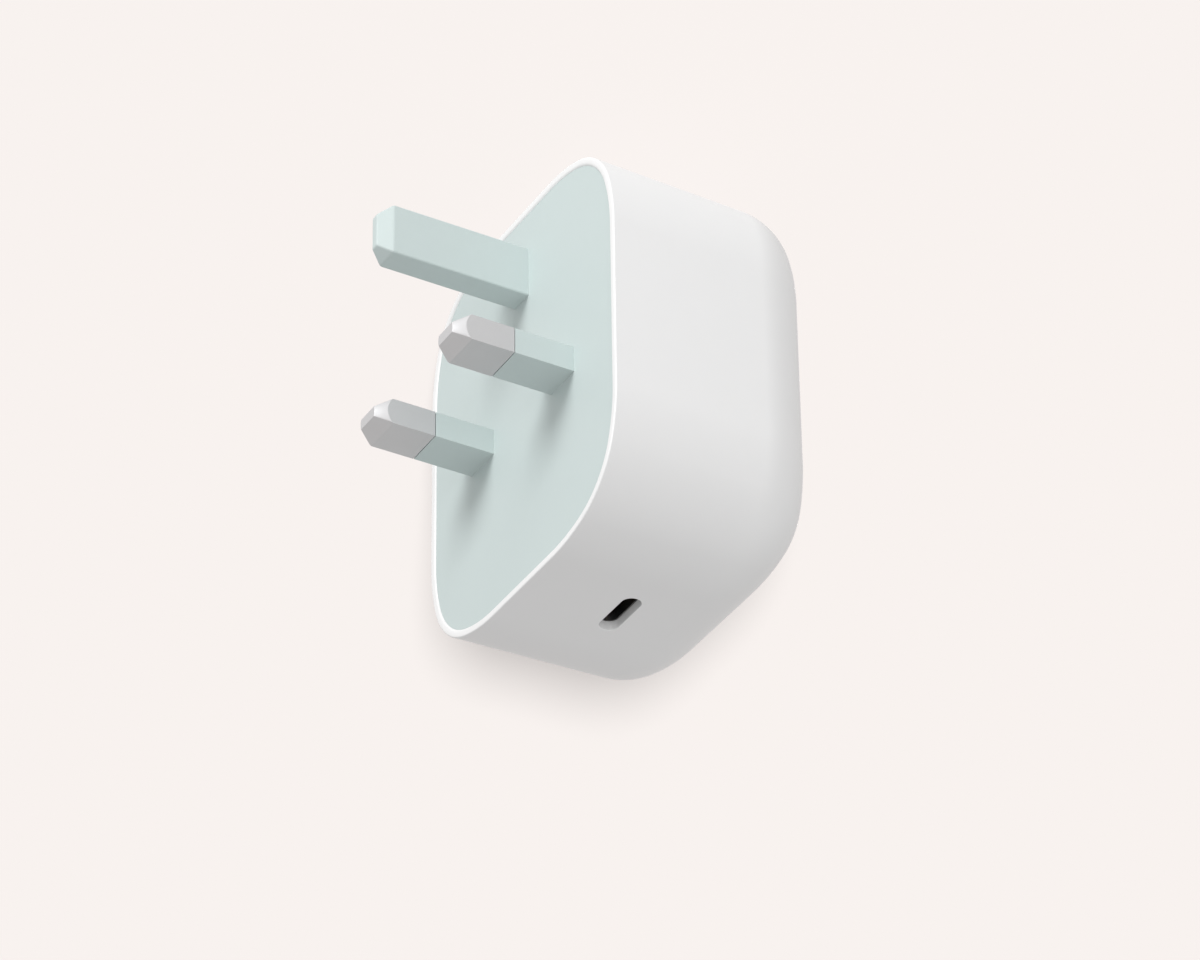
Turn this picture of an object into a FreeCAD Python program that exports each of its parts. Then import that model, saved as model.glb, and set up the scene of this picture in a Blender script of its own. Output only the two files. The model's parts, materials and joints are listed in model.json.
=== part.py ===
import FreeCAD, Part
import math
import operator
import os
from types import SimpleNamespace

import Sketcher

# Three-pin mains plug charger with one USB-C socket, in millimetres.
# X runs across the pin face, Z runs up towards the earth pin, and the pins point along -Y.
# The origin lies on the pin face, midway between the line and neutral pins.

SIZES = {
    # Outer shell: a tapered cup with a soft rear edge
    "shell_width": 51.2,
    "shell_above": 33.2,
    "shell_below": 28.1,
    "shell_depth": 33.0,
    "draft_angle": 1.2,
    "rear_round": 10.0,
    "corner_radius": 13.0,
    "shoulder_radius": 26.0,
    "shoulder_angle": 18.0,
    "wall": 2.2,
    "rim_width": 1.15,
    "rim_bevel": 0.2,
    "cavity_bevel": 4.6,
    "rib_width": 1.2,
    "rib_reach": 1.5,
    "rib_up": 10.0,
    # Pin plate, seated in the mouth of the shell
    "plate_recess": 0.2,
    "plate_gap": 0.05,
    "plate_thickness": 2.4,
    "skirt_height": 3.0,
    "skirt_thickness": 1.2,
    "skirt_gap": 0.1,
    "post_radius": 2.0,
    "post_across": 17.0,
    "post_above": 22.0,
    "post_below": 17.5,
    # Standard three-pin layout
    "pin_offset": 11.115,
    "pin_width": 6.35,
    "pin_height": 3.97,
    "pin_length": 17.7,
    "sleeve_length": 9.0,
    "sleeve_wall": 0.65,
    "sleeve_seam": 0.08,
    "head_rim": 0.55,
    "head_thickness": 1.4,
    "tip_bevel_length": 2.3,
    "tip_face_height": 1.6,
    "tip_radius": 2.0,
    "tip_cone_slope": 0.81,
    "earth_centre": 22.23,
    "earth_width": 4.0,
    "earth_height": 7.92,
    "earth_length": 22.73,
    "earth_bevel_length": 1.9,
    "earth_bevel": 1.35,
    "earth_core_width": 1.6,
    "earth_core_height": 5.2,
    "earth_core_depth": 16.0,
    # Circuit boards
    "board_standoff": 4.0,
    "board_thickness": 1.6,
    "board_gap": 0.35,
    "port_board_width": 24.0,
    "port_board_reach": 19.0,
    "port_board_thickness": 1.0,
    "tab_width": 3.0,
    "tab_offset": 7.5,
    "tab_gap": 0.1,
    # Pin contact springs
    "spring_width": 4.0,
    "spring_strip": 0.3,
    "spring_foot": 5.0,
    "spring_drop": 7.0,
    "spring_pad": 3.0,
    "spring_lip": 0.9,
    # USB-C socket
    "port_depth_centre": 14.8,
    "slot_width": 8.6,
    "slot_height": 2.8,
    "nose_recess": 1.45,
    "nose_gap": 0.05,
    "socket_width": 8.94,
    "socket_height": 3.16,
    "socket_wall": 0.3,
    "socket_length": 7.3,
    "socket_floor": 1.8,
    "tongue_width": 6.69,
    "tongue_thickness": 0.7,
    "tongue_recess": 1.0,
    "contact_pitch": 0.5,
    "contact_width": 0.25,
    "contact_thickness": 0.1,
    # Transformer
    "transformer_across": -8.0,
    "transformer_gap": 1.8,
    "core_half_length": 10.0,
    "core_depth": 6.0,
    "core_leg": 5.0,
    "core_side": 2.5,
    "core_window": 3.5,
    "bobbin_wall": 0.6,
    "bobbin_gap": 0.1,
    "bobbin_foot": 1.7,
    "bobbin_foot_length": 2.5,
    "flange_clearance": 0.2,
    "flange_thickness": 0.7,
    "winding_thickness": 2.2,
    "tape_thickness": 0.2,
    # Parts on the rear of the main board
    "lead_radius": 0.3,
    "lead_length": 1.0,
    "part_spacing": 1.0,
    "can_edge": 0.5,
    "can_groove": 0.35,
    "can_groove_up": 2.0,
    "bulk_radius": 4.5,
    "bulk_height": 18.0,
    "bulk_across": 14.0,
    "bulk_up": 0.5,
    "output_radius": 3.15,
    "output_height": 9.0,
    "output_from_side": 4.8,
    "output_gap": 1.75,
    "disc_radius": 3.5,
    "disc_thickness": 3.0,
    "varistor_from_fuse": 2.3,
    "varistor_gap": 2.5,
    "safety_disc_across": 5.6,
    "safety_disc_up": -4.0,
    "fuse_from_side": 5.3,
    "fuse_up": 11.0,
    "fuse_length": 10.0,
    "fuse_radius": 1.8,
    "fuse_cap_radius": 2.0,
    "fuse_cap_length": 2.2,
    "film_width": 13.0,
    "film_thickness": 6.0,
    "film_height": 11.0,
    "film_across": -8.0,
    "film_up": 19.0,
    "film_bevel": 0.6,
    "choke_across": 4.0,
    "choke_up": 18.5,
    "choke_radius": 6.0,
    "choke_bore_radius": 3.2,
    "choke_thickness": 4.5,
    "choke_wire": 0.75,
    "choke_wound_angle": 120.0,
    # Chips, heat spreader and insulation on the front of the main board
    "chip_width": 5.0,
    "chip_length": 6.0,
    "chip_height": 1.5,
    "chip_stand": 0.1,
    "leg_pitch": 1.27,
    "leg_width": 0.4,
    "leg_reach": 1.0,
    "rectifier_up": 14.0,
    "switch_up": -4.0,
    "sync_up": -15.0,
    "coupler_across": -13.0,
    "coupler_up": 10.0,
    "pad_thickness": 0.8,
    "spreader_thickness": 0.5,
    "spreader_width": 11.0,
    "spreader_margin": 4.0,
    "chip_part_length": 1.6,
    "chip_part_width": 0.8,
    "chip_part_height": 0.5,
    "chip_part_pitch": 2.6,
    "chip_part_across": 10.0,
    "chip_part_up": 9.0,
    "controller_size": 4.0,
    "controller_height": 0.8,
    "barrier_thickness": 0.3,
    "barrier_width": 22.0,
    "barrier_reach": 17.0,
    "barrier_gap": 1.4,
}

CONTACTS_PER_ROW = 12
NEAR = 1e-4

OPERATIONS = {"+": operator.add, "-": operator.sub, "*": operator.mul, "/": operator.truediv}
AXIS_Z = FreeCAD.Vector(0, 0, 1)
AXES = {"x": FreeCAD.Vector(1, 0, 0), "y": FreeCAD.Vector(0, 1, 0), "z": AXIS_Z}


class Size:
    """A number that carries the spreadsheet formula it comes from."""

    def __init__(self, number, formula):
        self.number = number
        self.formula = formula

    def __add__(self, other):
        return combine(self, "+", other)

    def __radd__(self, other):
        return combine(other, "+", self)

    def __sub__(self, other):
        return combine(self, "-", other)

    def __rsub__(self, other):
        return combine(other, "-", self)

    def __mul__(self, other):
        return combine(self, "*", other)

    def __rmul__(self, other):
        return combine(other, "*", self)

    def __truediv__(self, other):
        return combine(self, "/", other)

    def __neg__(self):
        return combine(-1, "*", self)


def as_size(item):
    """Wrap a plain number as a size."""
    if isinstance(item, Size):
        return item
    return Size(float(item), repr(float(item)))


def combine(first, sign, second):
    """Join two sizes into one, in number and in formula."""
    first, second = as_size(first), as_size(second)
    number = OPERATIONS[sign](first.number, second.number)
    return Size(number, f"({first.formula} {sign} {second.formula})")


def tangent(angle):
    """Tangent of an angle given in degrees."""
    return Size(math.tan(math.radians(angle.number)), f"tan({angle.formula} * 1 deg)")


doc = FreeCAD.newDocument("charger")


def fill_sheet():
    """Write the driving sizes into the spreadsheet and hand them back by name."""
    sheet = doc.addObject("Spreadsheet::Sheet", "sizes")
    for row, (alias, value) in enumerate(SIZES.items(), start=1):
        sheet.set(f"A{row}", alias)
        sheet.set(f"B{row}", str(value))
        sheet.setAlias(f"B{row}", alias)
    return SimpleNamespace(**{alias: Size(value, "sizes." + alias) for alias, value in SIZES.items()})


dim = fill_sheet()
layout = doc.addObject("App::VarSet", "layout")
nodes = {}


def named(name, size):
    """Keep a derived size in the layout set under its own name."""
    layout.addProperty("App::PropertyFloat", name)
    layout.setExpression(name, as_size(size).formula)
    return Size(as_size(size).number, "layout." + name)


# Planes and lines that several pieces share
FRONT = named("rim_front", -dim.plate_recess)
HALF_WIDTH = named("half_width", dim.shell_width / 2)
SLOPE = named("draft_slope", tangent(dim.draft_angle))
BOARD_FRONT = named("board_front", dim.plate_thickness + dim.board_standoff)
BOARD_REAR = named("board_rear", BOARD_FRONT + dim.board_thickness)
SKIRT_END = named("skirt_end", dim.plate_thickness + dim.skirt_height)
CORE_WIDTH = named("core_width", dim.pin_width - 2 * dim.sleeve_wall)
CORE_HEIGHT = named("core_height", dim.pin_height - 2 * dim.sleeve_wall)
HEAD_REAR = named("head_rear", dim.plate_thickness + dim.head_thickness)


def wall_inset(depth):
    """How far the shell's inner wall stands in from its front outline at a depth."""
    return dim.wall + SLOPE * (depth - FRONT)


UNDERSIDE = named("underside_at_port", -dim.shell_below + SLOPE * (dim.port_depth_centre - FRONT))
SOCKET_SEAT = named("socket_seat", UNDERSIDE + dim.nose_recess)
NOSE = named("socket_nose", SOCKET_SEAT + dim.nose_gap)
PORT_BOARD_BOTTOM = named("port_board_bottom", NOSE + dim.socket_length)
PORT_BOARD_TOP = named("port_board_top", PORT_BOARD_BOTTOM + dim.port_board_thickness)
SPREADER_REAR = named("spreader_rear", BOARD_FRONT - dim.chip_stand - dim.chip_height - dim.pad_thickness)
BARRIER_LOW = named("barrier_low", PORT_BOARD_TOP + dim.barrier_gap)
BARRIER_HIGH = named("barrier_high", BARRIER_LOW + dim.barrier_thickness)
CORE_HALF_HEIGHT = named("core_half_height", dim.core_leg / 2 + dim.core_window + dim.core_side)
TRANSFORMER_UP = named("transformer_up", BARRIER_HIGH + dim.transformer_gap + CORE_HALF_HEIGHT)
FUSE_ACROSS = named("fuse_across", dim.fuse_from_side + dim.fuse_cap_radius - HALF_WIDTH)
BOBBIN_FLANGE = named("bobbin_flange", dim.core_depth / 2 + dim.core_window - dim.flange_clearance)
BOBBIN_CENTRE = named("bobbin_centre", BOARD_REAR + dim.bobbin_foot + BOBBIN_FLANGE)
BOBBIN_END = named("bobbin_end", dim.core_half_length - dim.core_side - dim.bobbin_gap)
TUBE_DEPTH = named("bobbin_tube_depth", dim.core_depth + 2 * (dim.bobbin_gap + dim.bobbin_wall))
TUBE_HEIGHT = named("bobbin_tube_height", dim.core_leg + 2 * (dim.bobbin_gap + dim.bobbin_wall))


def bind(item, path, size):
    """Tie one property of an object to a size."""
    item.setExpression(path, as_size(size).formula)


def place(item, position, rotation=FreeCAD.Rotation()):
    """Put an object at a position whose three coordinates are sizes."""
    numbers = [as_size(size).number for size in position]
    item.Placement = FreeCAD.Placement(FreeCAD.Vector(*numbers), rotation)
    for axis, size in zip("xyz", position):
        bind(item, f"Placement.Base.{axis}", size)


def keep(name, item):
    """Register a finished piece under its node name."""
    item.Label = name
    nodes[name] = item
    return item


def add_box(name, low, extent):
    """A box from its low corner and its three lengths."""
    item = doc.addObject("Part::Box", name)
    for path, size in zip(("Length", "Width", "Height"), extent):
        bind(item, path, size)
    place(item, low)
    return item


def add_cylinder(name, base, axis, radius, length):
    """A cylinder that starts at a point and runs along one axis."""
    item = doc.addObject("Part::Cylinder", name)
    bind(item, "Radius", radius)
    bind(item, "Height", length)
    place(item, base, FreeCAD.Rotation(AXIS_Z, AXES[axis]))
    return item


def join(name, items):
    """Fuse pieces that are moulded or formed as one."""
    item = doc.addObject("Part::MultiFuse", name)
    item.Shapes = items
    return item


def group(name, items):
    """Several separate solids that share one node."""
    item = doc.addObject("Part::Compound", name)
    item.Links = items
    return item


def cut(name, base, tool):
    """Take one shape away from another."""
    item = doc.addObject("Part::Cut", name)
    item.Base = base
    item.Tool = tool
    return item


def start_body(name):
    """A new part-design body."""
    return doc.addObject("PartDesign::Body", name)


def origin_plane(body, role):
    """One of a body's own origin planes."""
    return next(item for item in body.Origin.OriginFeatures if item.Role == role)


def start_sketch(body, name, role, offset=0):
    """A sketch on an origin plane, moved along that plane's normal."""
    sketch = body.newObject("Sketcher::SketchObject", name)
    sketch.AttachmentSupport = [(origin_plane(body, role), "")]
    sketch.MapMode = "FlatFace"
    bind(sketch, "AttachmentOffset.Base.z", offset)
    return sketch


def face_sketch(body, name, depth):
    """A sketch parallel to the pin face at a depth along Y, with X across and Z up."""
    return start_sketch(body, name, "XZ_Plane", -as_size(depth))


def constrain(sketch, kind, *references, size):
    """Add one dimension to a sketch and tie it to a size."""
    size = as_size(size)
    number = math.radians(size.number) if kind == "Angle" else size.number
    index = sketch.addConstraint(Sketcher.Constraint(kind, *references, number))
    formula = f"{size.formula} * 1 deg" if kind == "Angle" else size.formula
    sketch.setExpression(f"Constraints[{index}]", formula)


def pin_point(sketch, geometry, vertex, across, up):
    """Fix a point of a sketch by its two coordinates."""
    constrain(sketch, "DistanceX", -1, 1, geometry, vertex, size=across)
    constrain(sketch, "DistanceY", -1, 1, geometry, vertex, size=up)


def flat_vector(across, up):
    """A sketch point from two sizes."""
    return FreeCAD.Vector(as_size(across).number, as_size(up).number, 0)


def draw_polygon(sketch, points):
    """A closed outline of straight edges."""
    first = sketch.GeometryCount
    corners = [flat_vector(*point) for point in points]
    count = len(corners)
    for index in range(count):
        sketch.addGeometry(Part.LineSegment(corners[index], corners[(index + 1) % count]))
    for index in range(count):
        after = first + (index + 1) % count
        sketch.addConstraint(Sketcher.Constraint("Coincident", first + index, 2, after, 1))
        pin_point(sketch, first + index, 1, *points[index])


def draw_rectangle(sketch, across, up, width, height):
    """A rectangle about a centre point."""
    left, right = across - width / 2, across + width / 2
    low, high = up - height / 2, up + height / 2
    draw_polygon(sketch, [(left, low), (right, low), (right, high), (left, high)])


def draw_circle(sketch, across, up, radius):
    """A circle about a centre point."""
    index = sketch.addGeometry(Part.Circle(flat_vector(across, up), AXIS_Z, radius.number))
    pin_point(sketch, index, 3, across, up)
    constrain(sketch, "Radius", index, size=radius)


def draw_stadium(sketch, across, up, width, height):
    """A slot outline: two half circles joined by two straight edges."""
    first = sketch.GeometryCount
    radius = height / 2
    reach = width / 2 - radius
    right, left = flat_vector(across + reach, up), flat_vector(across - reach, up)
    rise = FreeCAD.Vector(0, radius.number, 0)
    quarter = math.pi / 2
    right_circle = Part.Circle(right, AXIS_Z, radius.number)
    left_circle = Part.Circle(left, AXIS_Z, radius.number)
    sketch.addGeometry(Part.LineSegment(left - rise, right - rise))
    sketch.addGeometry(Part.ArcOfCircle(right_circle, -quarter, quarter))
    sketch.addGeometry(Part.LineSegment(right + rise, left + rise))
    sketch.addGeometry(Part.ArcOfCircle(left_circle, quarter, 3 * quarter))
    for index in range(4):
        after = first + (index + 1) % 4
        sketch.addConstraint(Sketcher.Constraint("Tangent", first + index, 2, after, 1))
    pin_point(sketch, first + 1, 3, across + reach, up)
    pin_point(sketch, first + 3, 3, across - reach, up)
    for arc in (first + 1, first + 3):
        constrain(sketch, "Radius", arc, size=radius)


def corner_arcs(inset):
    """Centres, radii and start angles of one soft corner, with the corner point at the origin."""
    turn = math.radians(dim.shoulder_angle.number)
    shoulder = (dim.shoulder_radius - inset).number
    corner = (dim.corner_radius - inset).number
    lean = shoulder - corner
    extent = lean * (math.sin(turn) - math.cos(turn)) + shoulder
    quarter = math.pi / 2
    arcs = [
        (-extent, shoulder, shoulder, -quarter, -quarter + turn),
        (-extent + lean * math.sin(turn), shoulder - lean * math.cos(turn), corner, -quarter + turn, -turn),
        (-shoulder, extent, shoulder, -turn, 0),
    ]
    return extent, arcs


def turned(point, angle):
    """A sketch point turned about the origin."""
    across, up = point
    return (across * math.cos(angle) - up * math.sin(angle), across * math.sin(angle) + up * math.cos(angle))


def draw_outline(sketch, inset):
    """The soft-cornered face outline, moved inwards by an inset.

    Each corner is a tight arc between two wide shoulder arcs, so the sides flow into it.
    """
    inset = as_size(inset)
    first = sketch.GeometryCount
    right, low, high = HALF_WIDTH - inset, -dim.shell_below + inset, dim.shell_above - inset
    extent, arcs = corner_arcs(inset)
    places = [(right, low), (right, high), (-right, high), (-right, low)]
    for side, (across, up) in enumerate(places):
        angle = side * math.pi / 2
        before = flat_vector(*places[side - 1]) + FreeCAD.Vector(*turned((extent, 0), angle))
        corner = flat_vector(across, up)
        after = corner - FreeCAD.Vector(*turned((extent, 0), angle))
        sketch.addGeometry(Part.LineSegment(before, after))
        for offset_across, offset_up, radius, start, end in arcs:
            centre = corner + FreeCAD.Vector(*turned((offset_across, offset_up), angle))
            circle = Part.Circle(centre, AXIS_Z, radius)
            sketch.addGeometry(Part.ArcOfCircle(circle, start + angle, end + angle))
    pieces_per_side = 1 + len(arcs)
    count = len(places) * pieces_per_side
    for index in range(count):
        after = first + (index + 1) % count
        sketch.addConstraint(Sketcher.Constraint("Tangent", first + index, 2, after, 1))
    edges = [("Horizontal", "DistanceY", low), ("Vertical", "DistanceX", right),
             ("Horizontal", "DistanceY", high), ("Vertical", "DistanceX", -right)]
    for side, (kind, axis, edge) in enumerate(edges):
        line = first + pieces_per_side * side
        sketch.addConstraint(Sketcher.Constraint(kind, line))
        constrain(sketch, axis, -1, 1, line, 1, size=edge)
        for shoulder in (line + 1, line + 3):
            constrain(sketch, "Radius", shoulder, size=dim.shoulder_radius - inset)
            constrain(sketch, "Angle", shoulder, size=dim.shoulder_angle)
        constrain(sketch, "Radius", line + 2, size=dim.corner_radius - inset)


def add_feature(body, kind, name, sketch, length, against=False, taper=None, middle=False):
    """A pad or pocket of a sketch, along the plane's normal or against it.

    The normal is -Y on the face plane, +Z on the base plane and +X on the side plane.
    """
    feature = body.newObject("PartDesign::" + kind, name)
    feature.Profile = (sketch, [""])
    bind(feature, "Length", length)
    feature.Reversed = against if kind == "Pad" else not against
    if middle:
        feature.SideType = "Symmetric"
    if taper is not None:
        bind(feature, "TaperAngle", taper)
    body.Tip = feature
    return feature


def pad(body, name, sketch, length, **options):
    """Add material from a sketch."""
    return add_feature(body, "Pad", name, sketch, length, **options)


def pocket(body, name, sketch, length, **options):
    """Take material away from a sketch, and make sure that it did."""
    doc.recompute()
    before = body.Shape.Volume
    feature = add_feature(body, "Pocket", name, sketch, length, **options)
    doc.recompute()
    if not body.Shape.Volume < before - NEAR:
        raise ValueError(f"pocket {name} cut nothing")
    return feature


def edges_where(shape, test):
    """Names of the edges whose every end point passes a test."""
    return [f"Edge{index}" for index, edge in enumerate(shape.Edges, start=1)
            if all(test(vertex.Point) for vertex in edge.Vertexes)]


def soften_edges(body, name, base, test, size, kind="Fillet"):
    """Round or bevel the edges of a feature that pass a test."""
    doc.recompute()
    feature = body.newObject("PartDesign::" + kind, name)
    feature.Base = (base, edges_where(base.Shape, test))
    bind(feature, "Radius" if kind == "Fillet" else "Size", size)
    body.Tip = feature
    return feature


def at_depth(depth):
    """A test for points at one depth along Y."""
    return lambda point: abs(point.y - as_size(depth).number) < NEAR


def revolve(body, name, sketch, angle=360, kind="Revolution"):
    """Turn a profile about the upright axis of its sketch."""
    feature = body.newObject("PartDesign::" + kind, name)
    feature.Profile = (sketch, [""])
    feature.ReferenceAxis = (sketch, ["V_Axis"])
    bind(feature, "Angle", as_size(angle))
    body.Tip = feature
    return feature


def outer_shell():
    """The tapered cup: soft rear edge, plate seat, USB-C slot, nest for the socket and board ribs."""
    body = start_body("outer_shell")
    outline = face_sketch(body, "shell_outline", FRONT)
    draw_outline(outline, 0)
    block = pad(body, "shell_block", outline, dim.shell_depth - FRONT, against=True, taper=-dim.draft_angle)
    soften_edges(body, "rim_edge", block, at_depth(FRONT), dim.rim_bevel, "Chamfer")

    cavity = face_sketch(body, "cavity_outline", FRONT)
    draw_outline(cavity, dim.wall)
    floor = dim.shell_depth - dim.wall
    hollow = pocket(body, "cavity", cavity, floor - FRONT, against=True, taper=-dim.draft_angle)
    inside = soften_edges(body, "cavity_edge", hollow, at_depth(floor), dim.cavity_bevel, "Chamfer")
    soften_edges(body, "rear_edge", inside, at_depth(dim.shell_depth), dim.rear_round)

    seat = face_sketch(body, "seat_outline", FRONT)
    draw_outline(seat, dim.rim_width)
    pocket(body, "plate_seat", seat, dim.plate_thickness - FRONT, against=True)

    slot = start_sketch(body, "slot_outline", "XY_Plane", -dim.shell_below)
    draw_stadium(slot, as_size(0), dim.port_depth_centre, dim.slot_width, dim.slot_height)
    pocket(body, "port_slot", slot, SOCKET_SEAT + dim.shell_below)
    nest = start_sketch(body, "socket_nest_outline", "XY_Plane", SOCKET_SEAT)
    gap = 2 * dim.nose_gap
    draw_stadium(nest, as_size(0), dim.port_depth_centre, dim.socket_width + gap, dim.socket_height + gap)
    pocket(body, "socket_nest", nest, dim.wall)

    ribs = face_sketch(body, "rib_outline", BOARD_REAR)
    inner = HALF_WIDTH - wall_inset(BOARD_REAR) - dim.rib_reach
    outer = HALF_WIDTH - dim.wall / 2
    for side in (-1, 1):
        for level in (-1, 1):
            draw_rectangle(ribs, side * (inner + outer) / 2, level * dim.rib_up, outer - inner, dim.rib_width)
    pad(body, "board_ribs", ribs, dim.shell_depth - dim.rear_round - BOARD_REAR, against=True)

    keep("outer_shell", body)


def pin_plate():
    """The plate that closes the shell, moulded with its earth pin, skirt and board posts."""
    body = start_body("pin_plate")
    outline = face_sketch(body, "plate_outline", 0)
    draw_outline(outline, dim.rim_width + dim.plate_gap)
    pad(body, "plate", outline, dim.plate_thickness, against=True)

    skirt = face_sketch(body, "skirt_outline", dim.plate_thickness)
    skirt_inset = wall_inset(SKIRT_END) + dim.skirt_gap
    draw_outline(skirt, skirt_inset)
    draw_outline(skirt, skirt_inset + dim.skirt_thickness)
    pad(body, "skirt", skirt, dim.skirt_height, against=True)

    posts = face_sketch(body, "post_outline", dim.plate_thickness)
    for side in (-1, 1):
        for up in (dim.post_above, -dim.post_below):
            draw_circle(posts, side * dim.post_across, up, dim.post_radius)
    pad(body, "board_posts", posts, dim.board_standoff, against=True)

    earth_pin(body)

    holes = face_sketch(body, "pin_holes_outline", 0)
    for side in (-1, 1):
        draw_rectangle(holes, side * dim.pin_offset, as_size(0), dim.pin_width, dim.pin_height)
    pocket(body, "pin_holes", holes, dim.plate_thickness, against=True)
    keep("pin_plate", body)


def earth_pin(body):
    """The plastic earth pin: a bar with a bevelled tip, cored from behind."""
    straight = dim.earth_length - dim.earth_bevel_length
    bar = face_sketch(body, "earth_outline", 0)
    draw_rectangle(bar, as_size(0), dim.earth_centre, dim.earth_width, dim.earth_height)
    pad(body, "earth_bar", bar, straight)

    root = face_sketch(body, "earth_tip_root", -straight)
    draw_rectangle(root, as_size(0), dim.earth_centre, dim.earth_width, dim.earth_height)
    end = face_sketch(body, "earth_tip_end", -dim.earth_length)
    taper = 2 * dim.earth_bevel
    draw_rectangle(end, as_size(0), dim.earth_centre, dim.earth_width - taper, dim.earth_height - taper)
    tip = body.newObject("PartDesign::AdditiveLoft", "earth_tip")
    tip.Profile = root
    tip.Sections = [end]
    tip.Ruled = True
    body.Tip = tip

    core = face_sketch(body, "earth_core_outline", dim.plate_thickness)
    draw_rectangle(core, as_size(0), dim.earth_centre, dim.earth_core_width, dim.earth_core_height)
    pocket(body, "earth_core", core, dim.plate_thickness + dim.earth_core_depth)


def mains_pin(name, side):
    """A solid pin: bevelled and turned tip, necked under its sleeve, headed behind the plate."""
    body = start_body(name)
    tip, neck = -dim.pin_length, -dim.sleeve_length
    half, face = dim.pin_height / 2, dim.tip_face_height / 2
    bevel = tip + dim.tip_bevel_length
    profile = start_sketch(body, name + "_side", "YZ_Plane")
    upper = [(neck, half), (bevel, half), (tip, face)]
    lower = [(depth, -up) for depth, up in reversed(upper)]
    draw_polygon(profile, upper + lower)
    pad(body, name + "_blade", profile, dim.pin_width, middle=True)

    necking = face_sketch(body, name + "_neck_outline", neck)
    draw_rectangle(necking, as_size(0), as_size(0), CORE_WIDTH, CORE_HEIGHT)
    pad(body, name + "_neck", necking, dim.plate_thickness - neck, against=True)

    heading = face_sketch(body, name + "_head_outline", dim.plate_thickness)
    rim = 2 * dim.head_rim
    draw_rectangle(heading, as_size(0), as_size(0), dim.pin_width + rim, dim.pin_height + rim)
    pad(body, name + "_head", heading, dim.head_thickness, against=True)

    reach = dim.pin_width
    turning = start_sketch(body, name + "_turning", "XY_Plane")
    ahead = tip - dim.tip_bevel_length
    radius = dim.tip_radius
    cone = (reach - radius) / dim.tip_cone_slope
    draw_polygon(turning, [(radius, ahead), (reach, ahead), (reach, tip + cone), (radius, tip)])
    revolve(body, name + "_cone", turning, kind="Groove")
    place(body, (side * dim.pin_offset, 0, 0))
    keep(name, body)


def pin_sleeve(name, side):
    """The insulating sleeve moulded flush round the neck of a pin and into the plate."""
    body = start_body(name)
    ring = face_sketch(body, name + "_outline", dim.plate_thickness)
    draw_rectangle(ring, as_size(0), as_size(0), dim.pin_width, dim.pin_height)
    draw_rectangle(ring, as_size(0), as_size(0), CORE_WIDTH, CORE_HEIGHT)
    pad(body, name + "_tube", ring, dim.plate_thickness + dim.sleeve_length - dim.sleeve_seam)
    place(body, (side * dim.pin_offset, 0, 0))
    keep(name, body)


def contact_spring(name, side):
    """A folded strip: soldered foot, sloping arm and a pad that presses on the pin's head."""
    body = start_body(name)
    strip = dim.spring_strip
    half_pad = dim.spring_pad / 2
    foot_start = -half_pad - dim.spring_drop - dim.spring_foot
    foot_end = foot_start + dim.spring_foot
    lip = half_pad + dim.spring_lip
    profile = start_sketch(body, name + "_side", "YZ_Plane")
    path = [(BOARD_FRONT - strip, foot_start), (BOARD_FRONT - strip, foot_end),
            (HEAD_REAR, -half_pad), (HEAD_REAR, half_pad), (HEAD_REAR + dim.spring_lip, lip)]
    back = [(depth + strip, up) for depth, up in reversed(path)]
    draw_polygon(profile, path + back)
    pad(body, name + "_strip", profile, dim.spring_width, middle=True)
    place(body, (side * dim.pin_offset, 0, 0))
    keep(name, body)


def main_board():
    """The main circuit board, following the shell's outline, slotted for the port board's tabs."""
    body = start_body("main_board")
    outline = face_sketch(body, "board_outline", BOARD_FRONT)
    draw_outline(outline, wall_inset(BOARD_REAR) + dim.board_gap)
    pad(body, "board_sheet", outline, dim.board_thickness, against=True)

    slots = face_sketch(body, "board_slots_outline", BOARD_FRONT)
    middle = (PORT_BOARD_BOTTOM + PORT_BOARD_TOP) / 2
    gap = 2 * dim.tab_gap
    width, height = dim.tab_width + gap, dim.port_board_thickness + gap
    for side in (-1, 1):
        draw_rectangle(slots, side * dim.tab_offset, middle, width, height)
    pocket(body, "board_slots", slots, dim.board_thickness, against=True)
    keep("main_board", body)


def port_board():
    """The small board that carries the USB-C socket, standing on the main board on two tabs."""
    body = start_body("port_board")
    edge, end = dim.port_board_width / 2, BOARD_REAR + dim.port_board_reach
    inner, outer = dim.tab_offset - dim.tab_width / 2, dim.tab_offset + dim.tab_width / 2
    right = [(inner, BOARD_REAR), (inner, BOARD_FRONT), (outer, BOARD_FRONT), (outer, BOARD_REAR),
             (edge, BOARD_REAR), (edge, end)]
    left = [(-across, depth) for across, depth in reversed(right)]
    outline = start_sketch(body, "port_board_outline", "XY_Plane", PORT_BOARD_BOTTOM)
    draw_polygon(outline, right + left)
    pad(body, "port_board_sheet", outline, dim.port_board_thickness)
    keep("port_board", body)


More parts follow.
